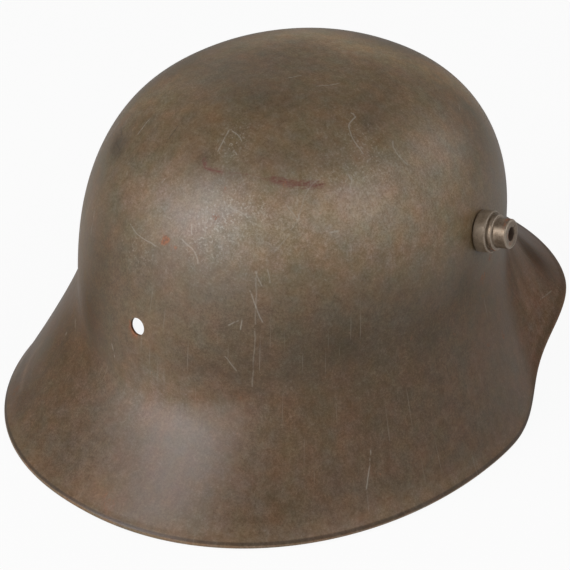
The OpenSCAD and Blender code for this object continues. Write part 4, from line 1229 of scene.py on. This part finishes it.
for name, (start, end), crowns, k in PADS:
    cushion = build_cushion(name + "_horsehair", start, end, 20 + k)
    puff_up(cushion, start, end)
    pocket, flat = build_pocket(name + "_linen", start, end, 30 + k)
    for stitches, _ in with_twin(build_stitches(name + "_stitches", start, end), name):
        settle(stitches, "helmet", THREAD)
    for (c, side), (p, _) in zip(with_twin(cushion, name), with_twin(pocket, name)):
        settle(c, "helmet", HORSEHAIR, [side + "_cushion"])
        settle(p, "helmet", LINEN, [side + "_pocket"])


# ---- lace
def build_lace():
    """The closed cord through the six tips, in and out of their holes."""
    th = np.arange(0, 360, 1.25)
    path = lining_at(th, np.full_like(th, LACE_V))
    path[:, 2] += 6 * spow(np.sin(np.radians(3 * (th - 30))), 0.7) - LEATHER_T / 2
    return face_outwards(new_object("laced_cord", *tube_mesh(path, LACE_D / 2, 10)))


settle(build_lace(), "helmet", LACE, ["crown_lace"])

# ---- carried-over metal pieces
KEPT = ((BARE_STEEL, "right_lug_washer", "left_lug_washer", "front_right_pin_washer",
         "front_left_pin_washer", "pad_rivets", "bail_rivets"),
        (PIN_PAINT, "front_right_pin", "front_left_pin"),
        (BAND_STEEL, "right_bail_bracket", "left_bail_bracket"), (WIRE_STEEL, "right_bail", "left_bail"))
for mat, *nodes in KEPT:
    for node in nodes:
        dress(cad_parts[node], mat)


# ---- floor, light and camera
def area_light(name, direction, power):
    """A soft box that looks at the helmet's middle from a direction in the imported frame."""
    data = bpy.data.lights.new(name, "AREA")
    data.shape, data.size, data.energy = "SQUARE", LIGHT_SIZE, power
    ob = bpy.data.objects.new(name, data)
    scene.collection.objects.link(ob)
    d = Vector(direction).normalized()
    ob.location = Vector((0, 0, 0.07)) + d * LIGHT_DISTANCE
    ob.rotation_euler = (-d).to_track_quat("-Z", "Y").to_euler()


def view_direction(azimuth, elevation):
    a, e = math.radians(azimuth), math.radians(elevation)
    return (math.sin(a) * math.cos(e), -math.cos(a) * math.cos(e), math.sin(e))


LIGHT_DISTANCE, LIGHT_SIZE = 1.7, 0.8
# name, azimuth, elevation, power
LIGHTS = (("key", 170, 35, 7.4), ("key_low", 155, 15, 3.7), ("key_side", 155, 30, 3.5),
          ("low", 185, 5, 3.8), ("right", 282, 38, 3.2), ("right_near", 265, 38, 1.9),
          ("front", 330, 25, 2.4), ("front_left", 60, 35, 0.6))
for name, az, el, power in LIGHTS:
    area_light(name, view_direction(az, el), power)


def white_when_seen(owner, out_kind, body_kind, white_kind, share):
    """Mixes plain white, for the camera and rays through glass, over a body, which is given back."""
    owner.use_nodes = True
    nodes, link = owner.node_tree.nodes, owner.node_tree.links.new
    nodes.clear()
    out, body, white, mix, path, seen, part = [
        nodes.new("ShaderNode" + kind)
        for kind in (out_kind, body_kind, white_kind, "MixShader", "LightPath", "Math", "Math")]
    seen.operation, part.operation = "MAXIMUM", "MULTIPLY"
    part.inputs[1].default_value = share
    body.inputs["Color"].default_value = white.inputs["Color"].default_value = (1, 1, 1, 1)
    white.inputs["Strength"].default_value = 1.0
    for a, b in ((path.outputs["Is Camera Ray"], seen.inputs[0]),
                 (path.outputs["Is Transmission Ray"], seen.inputs[1]), (seen.outputs[0], part.inputs[0]),
                 (part.outputs[0], mix.inputs[0]), (body.outputs[0], mix.inputs[1]),
                 (white.outputs[0], mix.inputs[2]), (mix.outputs[0], out.inputs["Surface"])):
        link(a, b)
    return body


scene.world = bpy.data.worlds.new("studio")
dim = white_when_seen(scene.world, "OutputWorld", "Background", "Background", 1.0)
dim.inputs["Strength"].default_value = 0.233
# a white sweep that keeps a faint trace of the helmet's shadow
sweep = bpy.data.materials.new("studio_floor")
body = white_when_seen(sweep, "OutputMaterial", "BsdfDiffuse", "Emission", 0.93)
body.inputs["Color"].default_value = (0.86, 0.86, 0.86, 1)
FLOOR_HALF, FLOOR_DROP = 6000, -0.0002
corners = [(x * FLOOR_HALF, y * FLOOR_HALF, 0) for x, y in ((-1, -1), (1, -1), (1, 1), (-1, 1))]
floor = new_object("floor", corners, [(0, 1, 2, 3)], shift=0)
floor.location.z = FLOOR_DROP
dress(floor, sweep)

AZIMUTH, ELEVATION, ROLL, DISTANCE, FOCAL_PX, IMAGE_PX = 220.075, 31.172, 1.203, 0.862, 1829.2, 570
AIM_HEIGHT, AIM_RIGHT, AIM_UP, SENSOR_MM = 0.080, -0.003108, -0.026531, 36
back = Vector(view_direction(AZIMUTH, ELEVATION))
level = (-back).cross(Vector((0, 0, 1))).normalized()
steep = level.cross(-back)
cos_roll, sin_roll = math.cos(math.radians(ROLL)), math.sin(math.radians(ROLL))
right, up = level * cos_roll + steep * sin_roll, steep * cos_roll - level * sin_roll
target = Vector((0, -MID_Y * MM, AIM_HEIGHT)) + right * AIM_RIGHT + up * AIM_UP
eye = target + back * DISTANCE
cam_data = bpy.data.cameras.new("camera")
cam_data.sensor_width, cam_data.sensor_fit = SENSOR_MM, "HORIZONTAL"
cam_data.lens = FOCAL_PX * SENSOR_MM / IMAGE_PX
cam_data.clip_start, cam_data.clip_end = 0.01, 50
camera = bpy.data.objects.new("camera", cam_data)
scene.collection.objects.link(camera)
camera.matrix_world = Matrix([(right[k], up[k], back[k], eye[k]) for k in range(3)] + [(0, 0, 0, 1)])
scene.camera = camera
scene.view_settings.view_transform = "Standard"
